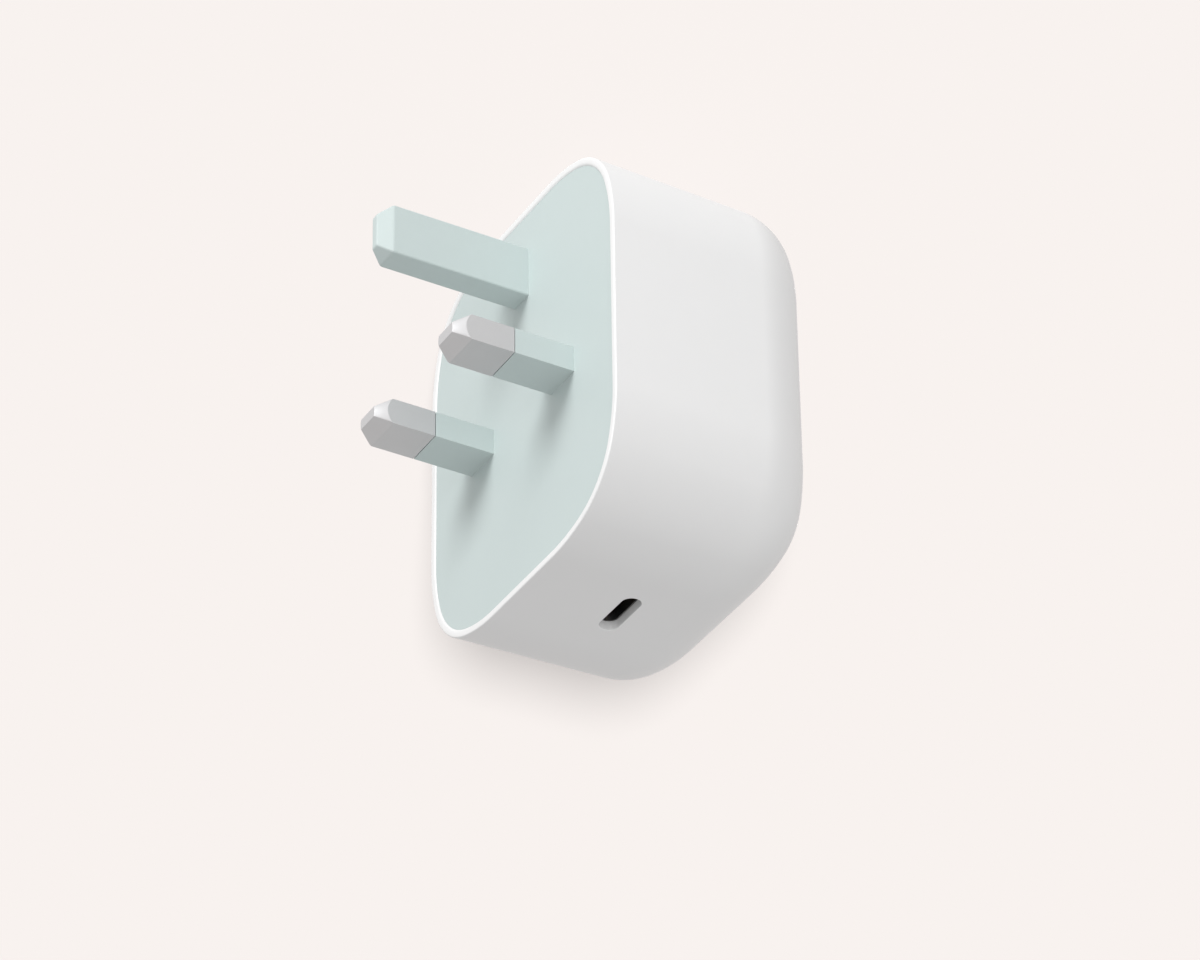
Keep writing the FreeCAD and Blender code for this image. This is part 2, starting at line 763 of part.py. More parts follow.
def usb_c_socket():
    """The USB-C socket: metal shell, moulded tongue and two rows of contacts."""
    body = start_body("usb_c_shell")
    ring = start_sketch(body, "socket_outline", "XY_Plane", NOSE)
    inner_width = dim.socket_width - 2 * dim.socket_wall
    inner_height = dim.socket_height - 2 * dim.socket_wall
    depth = dim.port_depth_centre
    draw_stadium(ring, as_size(0), depth, dim.socket_width, dim.socket_height)
    draw_stadium(ring, as_size(0), depth, inner_width, inner_height)
    pad(body, "socket_tube", ring, dim.socket_length)
    keep("usb_c_shell", body)

    floor = PORT_BOARD_BOTTOM - dim.socket_floor
    tongue_end = NOSE + dim.tongue_recess
    body = start_body("usb_c_tongue")
    plug = start_sketch(body, "socket_floor_outline", "XY_Plane", floor)
    draw_stadium(plug, as_size(0), depth, inner_width, inner_height)
    pad(body, "socket_floor", plug, dim.socket_floor)
    blade = start_sketch(body, "tongue_outline", "XY_Plane", floor)
    draw_rectangle(blade, as_size(0), depth, dim.tongue_width, dim.tongue_thickness)
    pad(body, "tongue", blade, floor - tongue_end, against=True)
    keep("usb_c_tongue", body)

    contacts = []
    start = tongue_end + dim.contact_width
    for side, face in ((-1, "front"), (1, "rear")):
        surface = depth + side * dim.tongue_thickness / 2
        low = surface - dim.contact_thickness if side < 0 else surface
        for column in range(CONTACTS_PER_ROW):
            place_in_row = column - (CONTACTS_PER_ROW - 1) / 2
            across = place_in_row * dim.contact_pitch - dim.contact_width / 2
            extent = (dim.contact_width, dim.contact_thickness, floor - start)
            contacts.append(add_box(f"{face}_contact_{column + 1}", (across, low, start), extent))
    keep("usb_c_contacts", group("contact_rows", contacts))


def transformer_core(name, side):
    """One half of the ferrite core: a back, a middle leg and two side legs."""
    body = start_body(name)
    half_leg = dim.core_leg / 2
    inside = half_leg + dim.core_window
    outside = inside + dim.core_side
    back = dim.core_half_length - dim.core_side
    upper = [(0, half_leg), (back, half_leg), (back, inside), (0, inside), (0, outside),
             (dim.core_half_length, outside)]
    points = upper + [(across, -up) for across, up in reversed(upper)]
    outline = face_sketch(body, name + "_outline", BOBBIN_CENTRE - dim.core_depth / 2)
    draw_polygon(outline, [(side * across, up) for across, up in points])
    pad(body, name + "_ferrite", outline, dim.core_depth, against=True)
    place(body, (dim.transformer_across, 0, TRANSFORMER_UP))
    keep(name, body)


def centred_box(name, length, depth, height):
    """A box about the middle of the transformer."""
    low = (dim.transformer_across - length / 2, BOBBIN_CENTRE - depth / 2, TRANSFORMER_UP - height / 2)
    return add_box(name, low, (length, depth, height))


def transformer_bobbin():
    """The bobbin: a square tube between two flanges, standing on two feet."""
    height = 2 * (dim.core_leg / 2 + dim.core_window - dim.flange_clearance)
    pieces = [centred_box("bobbin_tube", 2 * BOBBIN_END, TUBE_DEPTH, TUBE_HEIGHT)]
    for side in (-1, 1):
        flange = BOBBIN_END - dim.flange_thickness if side > 0 else -BOBBIN_END
        foot = BOBBIN_END - dim.bobbin_foot_length if side > 0 else -BOBBIN_END
        low = TRANSFORMER_UP - height / 2
        pieces.append(add_box("bobbin_flange_box",
                              (dim.transformer_across + flange, BOBBIN_CENTRE - BOBBIN_FLANGE, low),
                              (dim.flange_thickness, 2 * BOBBIN_FLANGE, height)))
        pieces.append(add_box("bobbin_foot_box", (dim.transformer_across + foot, BOARD_REAR, low),
                              (dim.bobbin_foot_length, dim.bobbin_foot, height)))
    gap = 2 * dim.bobbin_gap
    window = centred_box("bobbin_window", 2 * BOBBIN_END, dim.core_depth + gap, dim.core_leg + gap)
    keep("transformer_bobbin", cut("bobbin_cut", join("bobbin_solid", pieces), window))


def coil_ring(name, inner, thickness):
    """A layer wound round the bobbin tube between its flanges."""
    body = start_body(name)
    ring = start_sketch(body, name + "_outline", "YZ_Plane")
    for spread in (inner + thickness, inner):
        draw_rectangle(ring, BOBBIN_CENTRE, as_size(0), TUBE_DEPTH + 2 * spread, TUBE_HEIGHT + 2 * spread)
    pad(body, name + "_layer", ring, 2 * (BOBBIN_END - dim.flange_thickness), middle=True)
    place(body, (dim.transformer_across, 0, TRANSFORMER_UP))
    keep(name, body)


def round_part(name, profile, across, depth, up, axis="y"):
    """A turned part from a half profile of radius against length, set along one axis."""
    body = start_body(name)
    sketch = start_sketch(body, name + "_profile", "XY_Plane")
    draw_polygon(sketch, profile)
    revolve(body, name + "_turned", sketch)
    place(body, (across, depth, up), FreeCAD.Rotation(AXES["y"], AXES[axis]))
    return body


def can_capacitor(name, radius, height, across, up):
    """An electrolytic can standing on the main board, with its crimp groove and rolled top edge."""
    groove, low, edge = dim.can_groove, dim.can_groove_up, dim.can_edge
    profile = [(0, 0), (radius, 0), (radius, low), (radius - groove, low + groove),
               (radius, low + 2 * groove), (radius, height - edge), (radius - edge, height), (0, height)]
    keep(name, round_part(name, profile, across, BOARD_REAR, up))


def fuse():
    """A glass fuse lying on the board, with a metal cap at each end."""
    length, cap = dim.fuse_length, dim.fuse_cap_length
    wide, narrow = dim.fuse_cap_radius, dim.fuse_radius
    profile = [(0, 0), (wide, 0), (wide, cap), (narrow, cap), (narrow, length - cap), (wide, length - cap),
               (wide, length), (0, length)]
    low = dim.fuse_up - length / 2
    keep("fuse", round_part("fuse", profile, FUSE_ACROSS, BOARD_REAR + wide, low, "z"))


def disc_part(name, across, up):
    """A round ceramic disc standing on two leads."""
    centre = BOARD_REAR + dim.lead_length + dim.disc_radius
    low = across - dim.disc_thickness / 2
    pieces = [add_cylinder(name + "_disc", (low, centre, up), "x", dim.disc_radius, dim.disc_thickness)]
    reach = dim.lead_length + dim.disc_radius / 2
    for side in (-1, 1):
        base = (across, BOARD_REAR, up + side * dim.disc_radius / 2)
        pieces.append(add_cylinder(name + "_lead", base, "y", dim.lead_radius, reach))
    keep(name, join(name + "_solid", pieces))


def film_capacitor():
    """The boxed film capacitor across the mains, with bevelled top edges."""
    body = start_body("film_capacitor")
    outline = face_sketch(body, "film_outline", BOARD_REAR)
    draw_rectangle(outline, dim.film_across, dim.film_up, dim.film_width, dim.film_thickness)
    box = pad(body, "film_box", outline, dim.film_height, against=True)
    soften_edges(body, "film_edges", box, at_depth(BOARD_REAR + dim.film_height), dim.film_bevel, "Chamfer")
    keep("film_capacitor", body)


def choke():
    """The ring core choke standing on the board, with a winding on its upper and lower halves."""
    radius, bore, half = dim.choke_radius, dim.choke_bore_radius, dim.choke_thickness / 2
    ring = [(bore, -half), (radius, -half), (radius, half), (bore, half)]
    centre = BOARD_REAR + radius
    keep("choke_core", round_part("choke_core", ring, dim.choke_across, centre, dim.choke_up, "x"))

    wire = dim.choke_wire
    outer = [(bore - wire, -half - wire), (radius + wire, -half - wire), (radius + wire, half + wire),
             (bore - wire, half + wire)]
    for name, side in (("choke_winding_upper", 1), ("choke_winding_lower", -1)):
        body = start_body(name)
        profile = start_sketch(body, name + "_profile", "XY_Plane")
        draw_polygon(profile, outer)
        draw_polygon(profile, ring)
        turn = revolve(body, name + "_wound", profile, angle=dim.choke_wound_angle)
        turn.Midplane = True
        stand = FreeCAD.Rotation(AXIS_Z, -90).multiply(FreeCAD.Rotation(AXES["y"], -90 * side))
        place(body, (dim.choke_across, centre, dim.choke_up), stand)
        keep(name, body)


def gull_wing_chip(name, across, up, legs):
    """A flat chip on the front of the board, with a row of legs on its left and right."""
    depth = BOARD_FRONT - dim.chip_stand - dim.chip_height
    low = (across - dim.chip_width / 2, depth, up - dim.chip_length / 2)
    pieces = [add_box(name + "_case", low, (dim.chip_width, dim.chip_height, dim.chip_length))]
    for side in (-1, 1):
        start = across + dim.chip_width / 2 if side > 0 else across - dim.chip_width / 2 - dim.leg_reach
        for leg in range(legs):
            height = up + (leg - (legs - 1) / 2) * dim.leg_pitch - dim.leg_width / 2
            root = (start, BOARD_FRONT - dim.chip_height / 2, height)
            pieces.append(add_box(name + "_leg", root, (dim.leg_reach, dim.chip_height / 2, dim.leg_width)))
    keep(name, join(name + "_solid", pieces))


def heat_path():
    """The metal heat spreader, with one soft thermal pad on each chip that it cools."""
    chips = {"rectifier": dim.rectifier_up, "switch": dim.switch_up, "sync": dim.sync_up}
    for name, up in chips.items():
        low = (-dim.chip_width / 2, SPREADER_REAR, up - dim.chip_length / 2)
        extent = (dim.chip_width, dim.pad_thickness, dim.chip_length)
        keep(name + "_thermal_pad", add_box(name + "_pad", low, extent))
    low, high = dim.sync_up - dim.spreader_margin, dim.rectifier_up + dim.spreader_margin
    corner = (-dim.spreader_width / 2, SPREADER_REAR - dim.spreader_thickness, low)
    extent = (dim.spreader_width, dim.spreader_thickness, high - low)
    keep("heat_spreader", add_box("spreader_sheet", corner, extent))


def small_chips(name, corner, row_step, columns, rows, extent):
    """A grid of small chip resistors and capacitors that share one node."""
    pitch = dim.chip_part_pitch
    left, front, low = corner
    deeper, higher = row_step
    chips = []
    for column in range(columns):
        for row in range(rows):
            spot = (left + column * pitch, front + row * deeper, low + row * higher)
            chips.append(add_box(f"{name}_{column}_{row}", spot, extent))
    keep(name, group(name + "_group", chips))


def board_parts():
    """Everything soldered to the two boards."""
    gull_wing_chip("bridge_rectifier", as_size(0), dim.rectifier_up, legs=2)
    gull_wing_chip("primary_switch", as_size(0), dim.switch_up, legs=4)
    gull_wing_chip("sync_rectifier", as_size(0), dim.sync_up, legs=4)
    gull_wing_chip("optocoupler", dim.coupler_across, dim.coupler_up, legs=2)
    heat_path()
    corner = (dim.chip_part_across, BOARD_FRONT - dim.chip_part_height, dim.chip_part_up)
    extent = (dim.chip_part_length, dim.chip_part_height, dim.chip_part_width)
    small_chips("main_board_chips", corner, (0, dim.chip_part_pitch), columns=3, rows=4, extent=extent)

    size = dim.controller_size
    front = dim.port_depth_centre - size / 2
    corner = (-size / 2, front, PORT_BOARD_TOP)
    keep("port_controller", add_box("controller_case", corner, (size, size, dim.controller_height)))
    corner = (size / 2 + dim.part_spacing, front, PORT_BOARD_TOP)
    extent = (dim.chip_part_length, dim.chip_part_width, dim.chip_part_height)
    small_chips("port_board_chips", corner, (dim.chip_part_pitch, 0), columns=2, rows=2, extent=extent)

    corner = (dim.transformer_across - dim.barrier_width / 2, BOARD_REAR, BARRIER_LOW)
    extent = (dim.barrier_width, dim.barrier_reach, dim.barrier_thickness)
    keep("insulation_barrier", add_box("barrier_sheet", corner, extent))


def power_parts():
    """The wound parts, capacitors, fuse and surge parts on the rear of the main board."""
    transformer_bobbin()
    transformer_core("transformer_core_left", -1)
    transformer_core("transformer_core_right", 1)
    coil_ring("transformer_winding", as_size(0), dim.winding_thickness)
    coil_ring("transformer_tape", dim.winding_thickness, dim.tape_thickness)
    pitch = 2 * dim.bulk_radius + dim.part_spacing
    for index, place_name in enumerate(("lower", "upper")):
        can_capacitor("bulk_capacitor_" + place_name, dim.bulk_radius, dim.bulk_height, dim.bulk_across,
                      dim.bulk_up + index * pitch)
    pitch = 2 * dim.output_radius + dim.part_spacing
    right = HALF_WIDTH - dim.output_from_side - dim.output_radius
    low = BARRIER_HIGH + dim.output_gap + dim.output_radius
    for place_name, across in (("left", right - pitch), ("right", right)):
        can_capacitor("output_capacitor_" + place_name, dim.output_radius, dim.output_height, across, low)
    fuse()
    across = FUSE_ACROSS + dim.fuse_cap_radius + dim.varistor_from_fuse + dim.disc_thickness / 2
    up = TRANSFORMER_UP + CORE_HALF_HEIGHT + dim.varistor_gap + dim.disc_radius
    disc_part("varistor", across, up)
    disc_part("safety_capacitor", dim.safety_disc_across, dim.safety_disc_up)
    film_capacitor()
    choke()


def check_document():
    """Stop if any object failed or any piece is not a sound solid."""
    for item in doc.Objects:
        if "Invalid" in item.State or "Error" in item.State:
            raise ValueError(f"{item.Name} failed: {item.State}")
    for name, item in nodes.items():
        if item.Shape.isNull() or not item.Shape.isValid() or not item.Shape.Solids:
            raise ValueError(f"{name} has no sound solid")


def write_parts():
    """Write one STEP file for each node."""
    os.makedirs("parts", exist_ok=True)
    for name, item in nodes.items():
        item.Shape.exportStep(f"parts/{name}.step")


outer_shell()
pin_plate()
for pin_name, pin_side in (("line", -1), ("neutral", 1)):
    mains_pin(pin_name + "_pin", pin_side)
    pin_sleeve(pin_name + "_pin_sleeve", pin_side)
    contact_spring(pin_name + "_contact_spring", pin_side)
main_board()
port_board()
usb_c_socket()
power_parts()
board_parts()
doc.recompute()
check_document()
write_parts()
print(f"{len(nodes)} pieces written")
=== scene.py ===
import json
import math

import bmesh
import bpy
from mathutils import Matrix, Vector


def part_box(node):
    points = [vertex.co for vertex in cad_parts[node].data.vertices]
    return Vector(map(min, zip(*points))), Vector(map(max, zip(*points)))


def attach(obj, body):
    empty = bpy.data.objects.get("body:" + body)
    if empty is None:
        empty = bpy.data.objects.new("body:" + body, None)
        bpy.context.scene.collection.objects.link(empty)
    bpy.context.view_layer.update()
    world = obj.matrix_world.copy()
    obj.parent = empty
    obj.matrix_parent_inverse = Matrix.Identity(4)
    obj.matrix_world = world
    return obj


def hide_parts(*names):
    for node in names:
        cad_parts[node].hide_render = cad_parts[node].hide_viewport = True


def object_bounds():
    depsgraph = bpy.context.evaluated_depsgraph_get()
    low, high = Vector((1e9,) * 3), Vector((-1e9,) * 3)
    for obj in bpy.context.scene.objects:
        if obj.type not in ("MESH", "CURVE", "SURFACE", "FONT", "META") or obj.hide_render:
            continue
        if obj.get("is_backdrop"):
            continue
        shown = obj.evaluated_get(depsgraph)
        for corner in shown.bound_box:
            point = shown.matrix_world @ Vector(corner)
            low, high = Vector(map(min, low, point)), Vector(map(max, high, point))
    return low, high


bl_info = {
    "name": "Mains plug charger",
    "version": (1, 0, 0),
    "blender": (4, 5, 0),
    "location": "3D View > Sidebar > Charger",
    "description": "Models and finishes a three-pin mains plug charger with one USB-C socket",
    "category": "Object",
}

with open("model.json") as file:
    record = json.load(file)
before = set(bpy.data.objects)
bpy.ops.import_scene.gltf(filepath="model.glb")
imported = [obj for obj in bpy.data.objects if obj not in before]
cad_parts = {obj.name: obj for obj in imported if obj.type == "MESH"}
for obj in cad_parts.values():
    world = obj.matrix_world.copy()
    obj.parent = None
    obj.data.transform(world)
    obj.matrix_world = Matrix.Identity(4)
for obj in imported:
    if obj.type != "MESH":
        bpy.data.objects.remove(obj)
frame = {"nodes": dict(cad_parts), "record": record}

HOUSING_LOW, HOUSING_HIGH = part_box("outer_shell")
PLATE_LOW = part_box("pin_plate")[0]
LINE_LOW, LINE_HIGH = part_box("line_pin")
SLEEVE_LOW, SLEEVE_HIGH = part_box("neutral_pin_sleeve")
SOCKET_LOW, SOCKET_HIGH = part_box("usb_c_shell")

MERGE_DISTANCE = 1e-7   # metres within which two vertices are one

# How many steps each curve takes
SHOULDER_STEPS = 9
CORNER_STEPS = 20
REAR_STEPS = 16
CAVITY_STEPS = 8
SLOT_END_STEPS = 12
POST_STEPS = 32
TURNED_STEPS = 128

# The rim's edges: leans of the outer round in degrees, and the inner one as inset and depth in seat rounds
RIM_LEANS = (67.5, 45, 22.5, 0)
LIP = ((1.6, 0), (0.7, 0.3), (0, 1))

# Edges that turn by more than this many degrees stay sharp in the shading
SHARP_MOULDING = 40
SHARP_PIN = 60

SHEET_REACH = 3.0       # metres from the middle of a stage sheet to its sides


def length(name, description, default):
    """A length setting in metres."""
    return bpy.props.FloatProperty(name=name, description=description, default=default, min=0, unit="LENGTH",
                                   precision=5)


def angle(name, description, degrees):
    """An angle setting, given in degrees."""
    return bpy.props.FloatProperty(name=name, description=description, default=math.radians(degrees),
                                   unit="ROTATION")


def colour(name, description, default):
    """A colour setting."""
    return bpy.props.FloatVectorProperty(name=name, description=description, default=default, min=0, max=1,
                                         subtype="COLOR", size=3)


def number(name, description, default):
    """A plain number setting."""
    return bpy.props.FloatProperty(name=name, description=description, default=default, min=0)


class ChargerHousingSettings(bpy.types.PropertyGroup):
    """Sizes of the moulded housing."""

    draft: angle("Draft", "Lean of the side walls towards the rear", 1.2)
    rear_round: length("Rear round", "Radius of the soft rear edge", 0.010)
    corner_radius: length("Corner radius", "Radius at the middle of each corner", 0.013)
    shoulder_radius: length("Shoulder radius", "Radius where a side flows into a corner", 0.026)
    shoulder_turn: angle("Shoulder turn", "How far a shoulder arc turns", 18)
    wall: length("Wall", "Thickness of the moulded wall", 0.0022)
    rim_width: length("Rim width", "Width of the white rim round the plate", 0.00115)
    rim_round: length("Rim round", "Radius of the rim's outer edge", 0.00022)
    seat_round: length("Seat round", "Radius of the rim's inner edge", 0.0002)
    port_depth: length("Port depth", "Middle of the port behind the pin face", 0.0148)
    slot_width: length("Slot width", "Long way across the port's opening", 0.0086)
    slot_height: length("Slot height", "Short way across the port's opening", 0.0028)
    slot_round: length("Slot round", "Softened edge of the port's opening", 0.00012)
    nest_gap: length("Nest gap", "Space round the socket in its nest", 0.00005)
    rib_width: length("Rib width", "Width of a board rib", 0.0012)
    rib_reach: length("Rib reach", "How far a board rib stands out from the wall", 0.0015)
    rib_up: length("Rib height", "How far the ribs are above and below the line pins", 0.010)


class ChargerPlateSettings(bpy.types.PropertyGroup):
    """Sizes of the plate with its earth pin."""

    gap: length("Gap", "Space between the plate and the rim", 0.00001)
    thickness: length("Thickness", "Thickness of the plate", 0.0024)
    edge_round: length("Edge round", "Radius of the plate's front edge", 0.00003)
    skirt_height: length("Skirt height", "How far the skirt stands behind the plate", 0.003)
    skirt_thickness: length("Skirt thickness", "Thickness of the skirt", 0.0012)
    skirt_gap: length("Skirt gap", "Space between the skirt and the housing", 0.0001)
    post_radius: length("Post radius", "Radius of a board post", 0.002)
    post_across: length("Post spacing", "Board posts to each side of the middle", 0.017)
    post_above: length("Upper posts", "Height of the upper board posts", 0.022)
    post_below: length("Lower posts", "Depth of the lower board posts", 0.0175)
    earth_up: length("Earth pin height", "Earth pin above the line pins", 0.02223)
    earth_width: length("Earth pin width", "Width of the earth pin", 0.004)
    earth_height: length("Earth pin depth", "Upright side of the earth pin", 0.00792)
    earth_tip: length("Earth pin tip", "Length of the earth pin's bevelled tip", 0.0019)
    earth_bevel: length("Earth pin bevel", "How far the tip's bevels come in", 0.00135)
    earth_round: length("Earth pin round", "Softened edges of the earth pin", 0.00022)
    core_width: length("Core width", "Width of the hollow inside the earth pin", 0.0016)
    core_height: length("Core height", "Height of the hollow inside the earth pin", 0.0052)
    core_depth: length("Core depth", "Depth of the hollow ahead of the pin face", 0.016)


class ChargerPinSettings(bpy.types.PropertyGroup):
    """Sizes of the line and neutral pins and their sleeves."""

    offset: length("Offset", "Line and neutral pins to each side of the middle", 0.011115)
    width: length("Width", "Width of a pin", 0.00635)
    height: length("Height", "Thickness of a pin", 0.00397)
    sleeve_length: length("Sleeve length", "Length of the insulating sleeve ahead of the plate", 0.009)
    sleeve_wall: length("Sleeve wall", "Thickness of the sleeve", 0.00065)
    head_rim: length("Head rim", "How far the hidden head stands out", 0.00055)
    tip_length: length("Tip length", "Length of the pin's bevelled tip", 0.0023)
    tip_face: length("Tip face", "Thickness of the pin at its end", 0.0016)
    tip_radius: length("Tip radius", "Radius of the turned end", 0.002)
    tip_slope: number("Tip slope", "How fast the turned tip widens", 0.81)
    edge_round: length("Edge round", "Softened edges of the metal", 0.00006)
    sleeve_round: length("Sleeve round", "Softened edges of the sleeve", 0.00006)
    seam: length("Seam", "Fine gap between the sleeve and the metal ahead of it", 0.00002)


class ChargerFinishSettings(bpy.types.PropertyGroup):
    """Colours of the finishes that show."""

    housing: colour("Housing", "White of the housing", (0.83, 0.83, 0.83))
    plate: colour("Plate", "Pale grey green of the plate, earth pin and sleeves", (0.542, 0.618, 0.610))
    pin: colour("Pins", "Plated metal of the pins", (0.555, 0.56, 0.57))
    # The socket's grey is much darker than bare steel: partly the steel's own colour, partly painted shade
    # standing in for the deep shadow inside the port.
    socket: colour("Socket", "Steel of the socket", (0.30, 0.30, 0.31))
    grain: number("Grain", "Fine moulding grains in a metre", 7000)


class ChargerStudioSettings(bpy.types.PropertyGroup):
    """Camera, lamps and surroundings."""

    azimuth: angle("Azimuth", "Camera's turn round the object", 59.954)
    elevation: angle("Elevation", "Camera's height angle", -33.936)
    roll: angle("Roll", "Camera's lean", -0.802)
    distance: length("Distance", "Camera's distance from the pin face", 0.719)
    slide: bpy.props.FloatVectorProperty(name="Slide", description="Camera's shift to its right and up",
                                         default=(0.01051, -0.00909), size=2, unit="LENGTH")
    lens: number("Lens", "Focal length of the camera in millimetres", 160)
    background: colour("Background", "Colour of the floor and background", (0.939, 0.888, 0.863))
    ambient: number("Ambient", "Strength of the even light from all round", 0.54)
    ceiling_gap: length("Ceiling gap", "Space between the housing and the sheet above it", 0.002)
    ceiling_tilt: angle("Ceiling tilt", "How far that sheet rises behind the housing", 6)


GROUPS = {
    "charger_housing": ChargerHousingSettings,
    "charger_plate": ChargerPlateSettings,
    "charger_pins": ChargerPinSettings,
    "charger_finish": ChargerFinishSettings,
    "charger_studio": ChargerStudioSettings,
}


# Mesh helpers

def spin_out(bm, vert, centre, turn, steps):
    """Sweep a vertex round a centre in the flat plane and hand back its last place."""
    swept = bmesh.ops.spin(bm, geom=[vert], cent=centre, axis=(0, 0, 1), dvec=(0, 0, 0), angle=turn,
                           steps=steps, use_merge=False, use_normal_flip=False, use_duplicate=False)
    return next(item for item in swept["geom_last"] if isinstance(item, bmesh.types.BMVert))


def drag(bm, vert, place):
    """Draw an edge from a vertex to a new place."""
    made = bmesh.ops.extrude_vert_indiv(bm, verts=[vert])["verts"][0]
    made.co = place
    return made


def soft_rectangle(half_width, half_height, arcs=()):
    """A flat face whose corners are runs of arcs, each a radius, a turn and a step count."""
    bm = bmesh.new()
    across = half_width
    heading = 0
    for radius, turn, _ in arcs:
        across -= radius * (math.sin(heading + turn) - math.sin(heading))
        heading += turn
    end = drag(bm, bm.verts.new((0, -half_height, 0)), (across, -half_height, 0))
    heading = 0
    for radius, turn, steps in arcs:
        centre = end.co + radius * Vector((-math.sin(heading), math.cos(heading), 0))
        end = spin_out(bm, end, centre, turn, steps)
        heading += turn
    drag(bm, end, (half_width, 0, 0))
    for axis in ("X", "Y"):
        bmesh.ops.mirror(bm, geom=bm.verts[:] + bm.edges[:], merge_dist=MERGE_DISTANCE, axis=axis)
    bmesh.ops.contextual_create(bm, geom=bm.edges[:])
    return bm


def stand_up(bm, centre=(0, 0, 0)):
    """Turn a flat face to look forwards along -Y, with its middle at a place."""
    bmesh.ops.transform(bm, matrix=Matrix.Translation(centre) @ Matrix.Rotation(math.radians(90), 4, "X"),
                        verts=bm.verts)


def walk(bm, face, path):
    """Move a face along a path of inset and depth, leaving a wall behind every step."""
    for (inset, depth), (next_inset, next_depth) in zip(path, path[1:]):
        bmesh.ops.inset_region(bm, faces=[face], thickness=next_inset - inset, depth=0, use_boundary=True,
                               use_even_offset=True)
        bmesh.ops.translate(bm, vec=(0, next_depth - depth, 0), verts=face.verts)


def pull(bm, faces, way):
    """Pull faces out along a way, and hand back all that has grown and its vertices."""
    grown = bmesh.ops.extrude_face_region(bm, geom=faces)["geom"]
    verts = [item for item in grown if isinstance(item, bmesh.types.BMVert)]
    bmesh.ops.translate(bm, vec=way, verts=verts)
    return grown, verts


def carry(bm, face, run, across=1, up=1):
    """Pull a face out along Y and scale it about its middle."""
    grown, verts = pull(bm, [face], (0, run, 0))
    middle = sum((vert.co for vert in verts), Vector()) / len(verts)
    bmesh.ops.scale(bm, vec=(across, 1, up), verts=verts, space=Matrix.Translation(-middle))
    bmesh.ops.delete(bm, geom=[face], context="FACES_ONLY")
    return next(item for item in grown if isinstance(item, bmesh.types.BMFace))


def block(low, high):
    """A box between two corners."""
    bm = bmesh.new()
    low, high = Vector(low), Vector(high)
    bmesh.ops.create_cube(bm, size=1)
    bmesh.ops.scale(bm, vec=high - low, verts=bm.verts)
    bmesh.ops.translate(bm, vec=(low + high) / 2, verts=bm.verts)
    return bm


def facing(bm, direction):
    """The face that looks most nearly along a direction."""
    bm.normal_update()
    return max(bm.faces, key=lambda face: face.normal.dot(Vector(direction)))


def soften(bm, edges, size, segments=2):
    """Round edges a little."""
    bmesh.ops.bevel(bm, geom=edges, offset=size, offset_type="OFFSET", segments=segments, profile=0.5,
                    affect="EDGES", material=-1, clamp_overlap=True)


def solid(name, bm):
    """Make a mesh object of a closed shape."""
    bmesh.ops.recalc_face_normals(bm, faces=bm.faces)
    mesh = bpy.data.meshes.new(name)
    bm.to_mesh(mesh)
    bm.free()
    piece = bpy.data.objects.new(name, mesh)
    bpy.context.scene.collection.objects.link(piece)
    return piece


def apply_modifiers(piece):
    """Turn a piece with modifiers into a plain mesh."""
    bpy.context.view_layer.update()
    shaped = piece.evaluated_get(bpy.context.evaluated_depsgraph_get())
    mesh = bpy.data.meshes.new_from_object(shaped)
    piece.modifiers.clear()
    old = piece.data
    piece.data = mesh
    mesh.name = piece.name
    bpy.data.meshes.remove(old)


def combine(piece, tool_shape, operation):
    """Join, cut or cross a piece with a closed shape."""
    tool = solid("tool", tool_shape)
    modifier = piece.modifiers.new("combine", "BOOLEAN")
    modifier.operation = operation
    modifier.solver = "EXACT"
    modifier.object = tool
    apply_modifiers(piece)
    bpy.data.objects.remove(tool)


def soften_bends(piece, width, over):
    """Round every edge of a piece that turns by more than some degrees."""
    bevel = piece.modifiers.new("soft_edges", "BEVEL")
    bevel.width = width
    bevel.segments = 2
    bevel.limit_method = "ANGLE"
    bevel.angle_limit = math.radians(over)
    apply_modifiers(piece)


def edit(piece, change, *values):
    """Open a piece's mesh, change it and close it again."""
    bm = bmesh.new()
    bm.from_mesh(piece.data)
    bmesh.ops.remove_doubles(bm, verts=bm.verts, dist=MERGE_DISTANCE)
    change(bm, *values)
    bm.to_mesh(piece.data)
    bm.free()


def finish_piece(piece, nodes, slot, limit=SHARP_MOULDING):
    """Shade a piece, seat it in the frame and give it its finish."""
    for face in piece.data.polygons:
        face.use_smooth = True
    piece.data.set_sharp_from_angle(angle=math.radians(limit))
    weighted = piece.modifiers.new("even_shading", "WEIGHTED_NORMAL")
    weighted.keep_sharp = True
    apply_modifiers(piece)
    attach(piece, "root")
    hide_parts(*nodes)
    piece.data.materials.clear()
    piece.data.materials.append(finish(slot))
    return piece


# Finishes

def add_node(tree, kind, **values):
    """Add a shader node and set its inputs by name, linking those that are sockets."""
    node = tree.nodes.new(kind)
    for name, value in values.items():
        put(tree, node.inputs[name.replace("_", " ")], value)
    return node


def put(tree, socket, value):
    """Link a socket to another, or set its value."""
    if isinstance(value, bpy.types.NodeSocket):
        tree.links.new(value, socket)
    else:
        socket.default_value = value


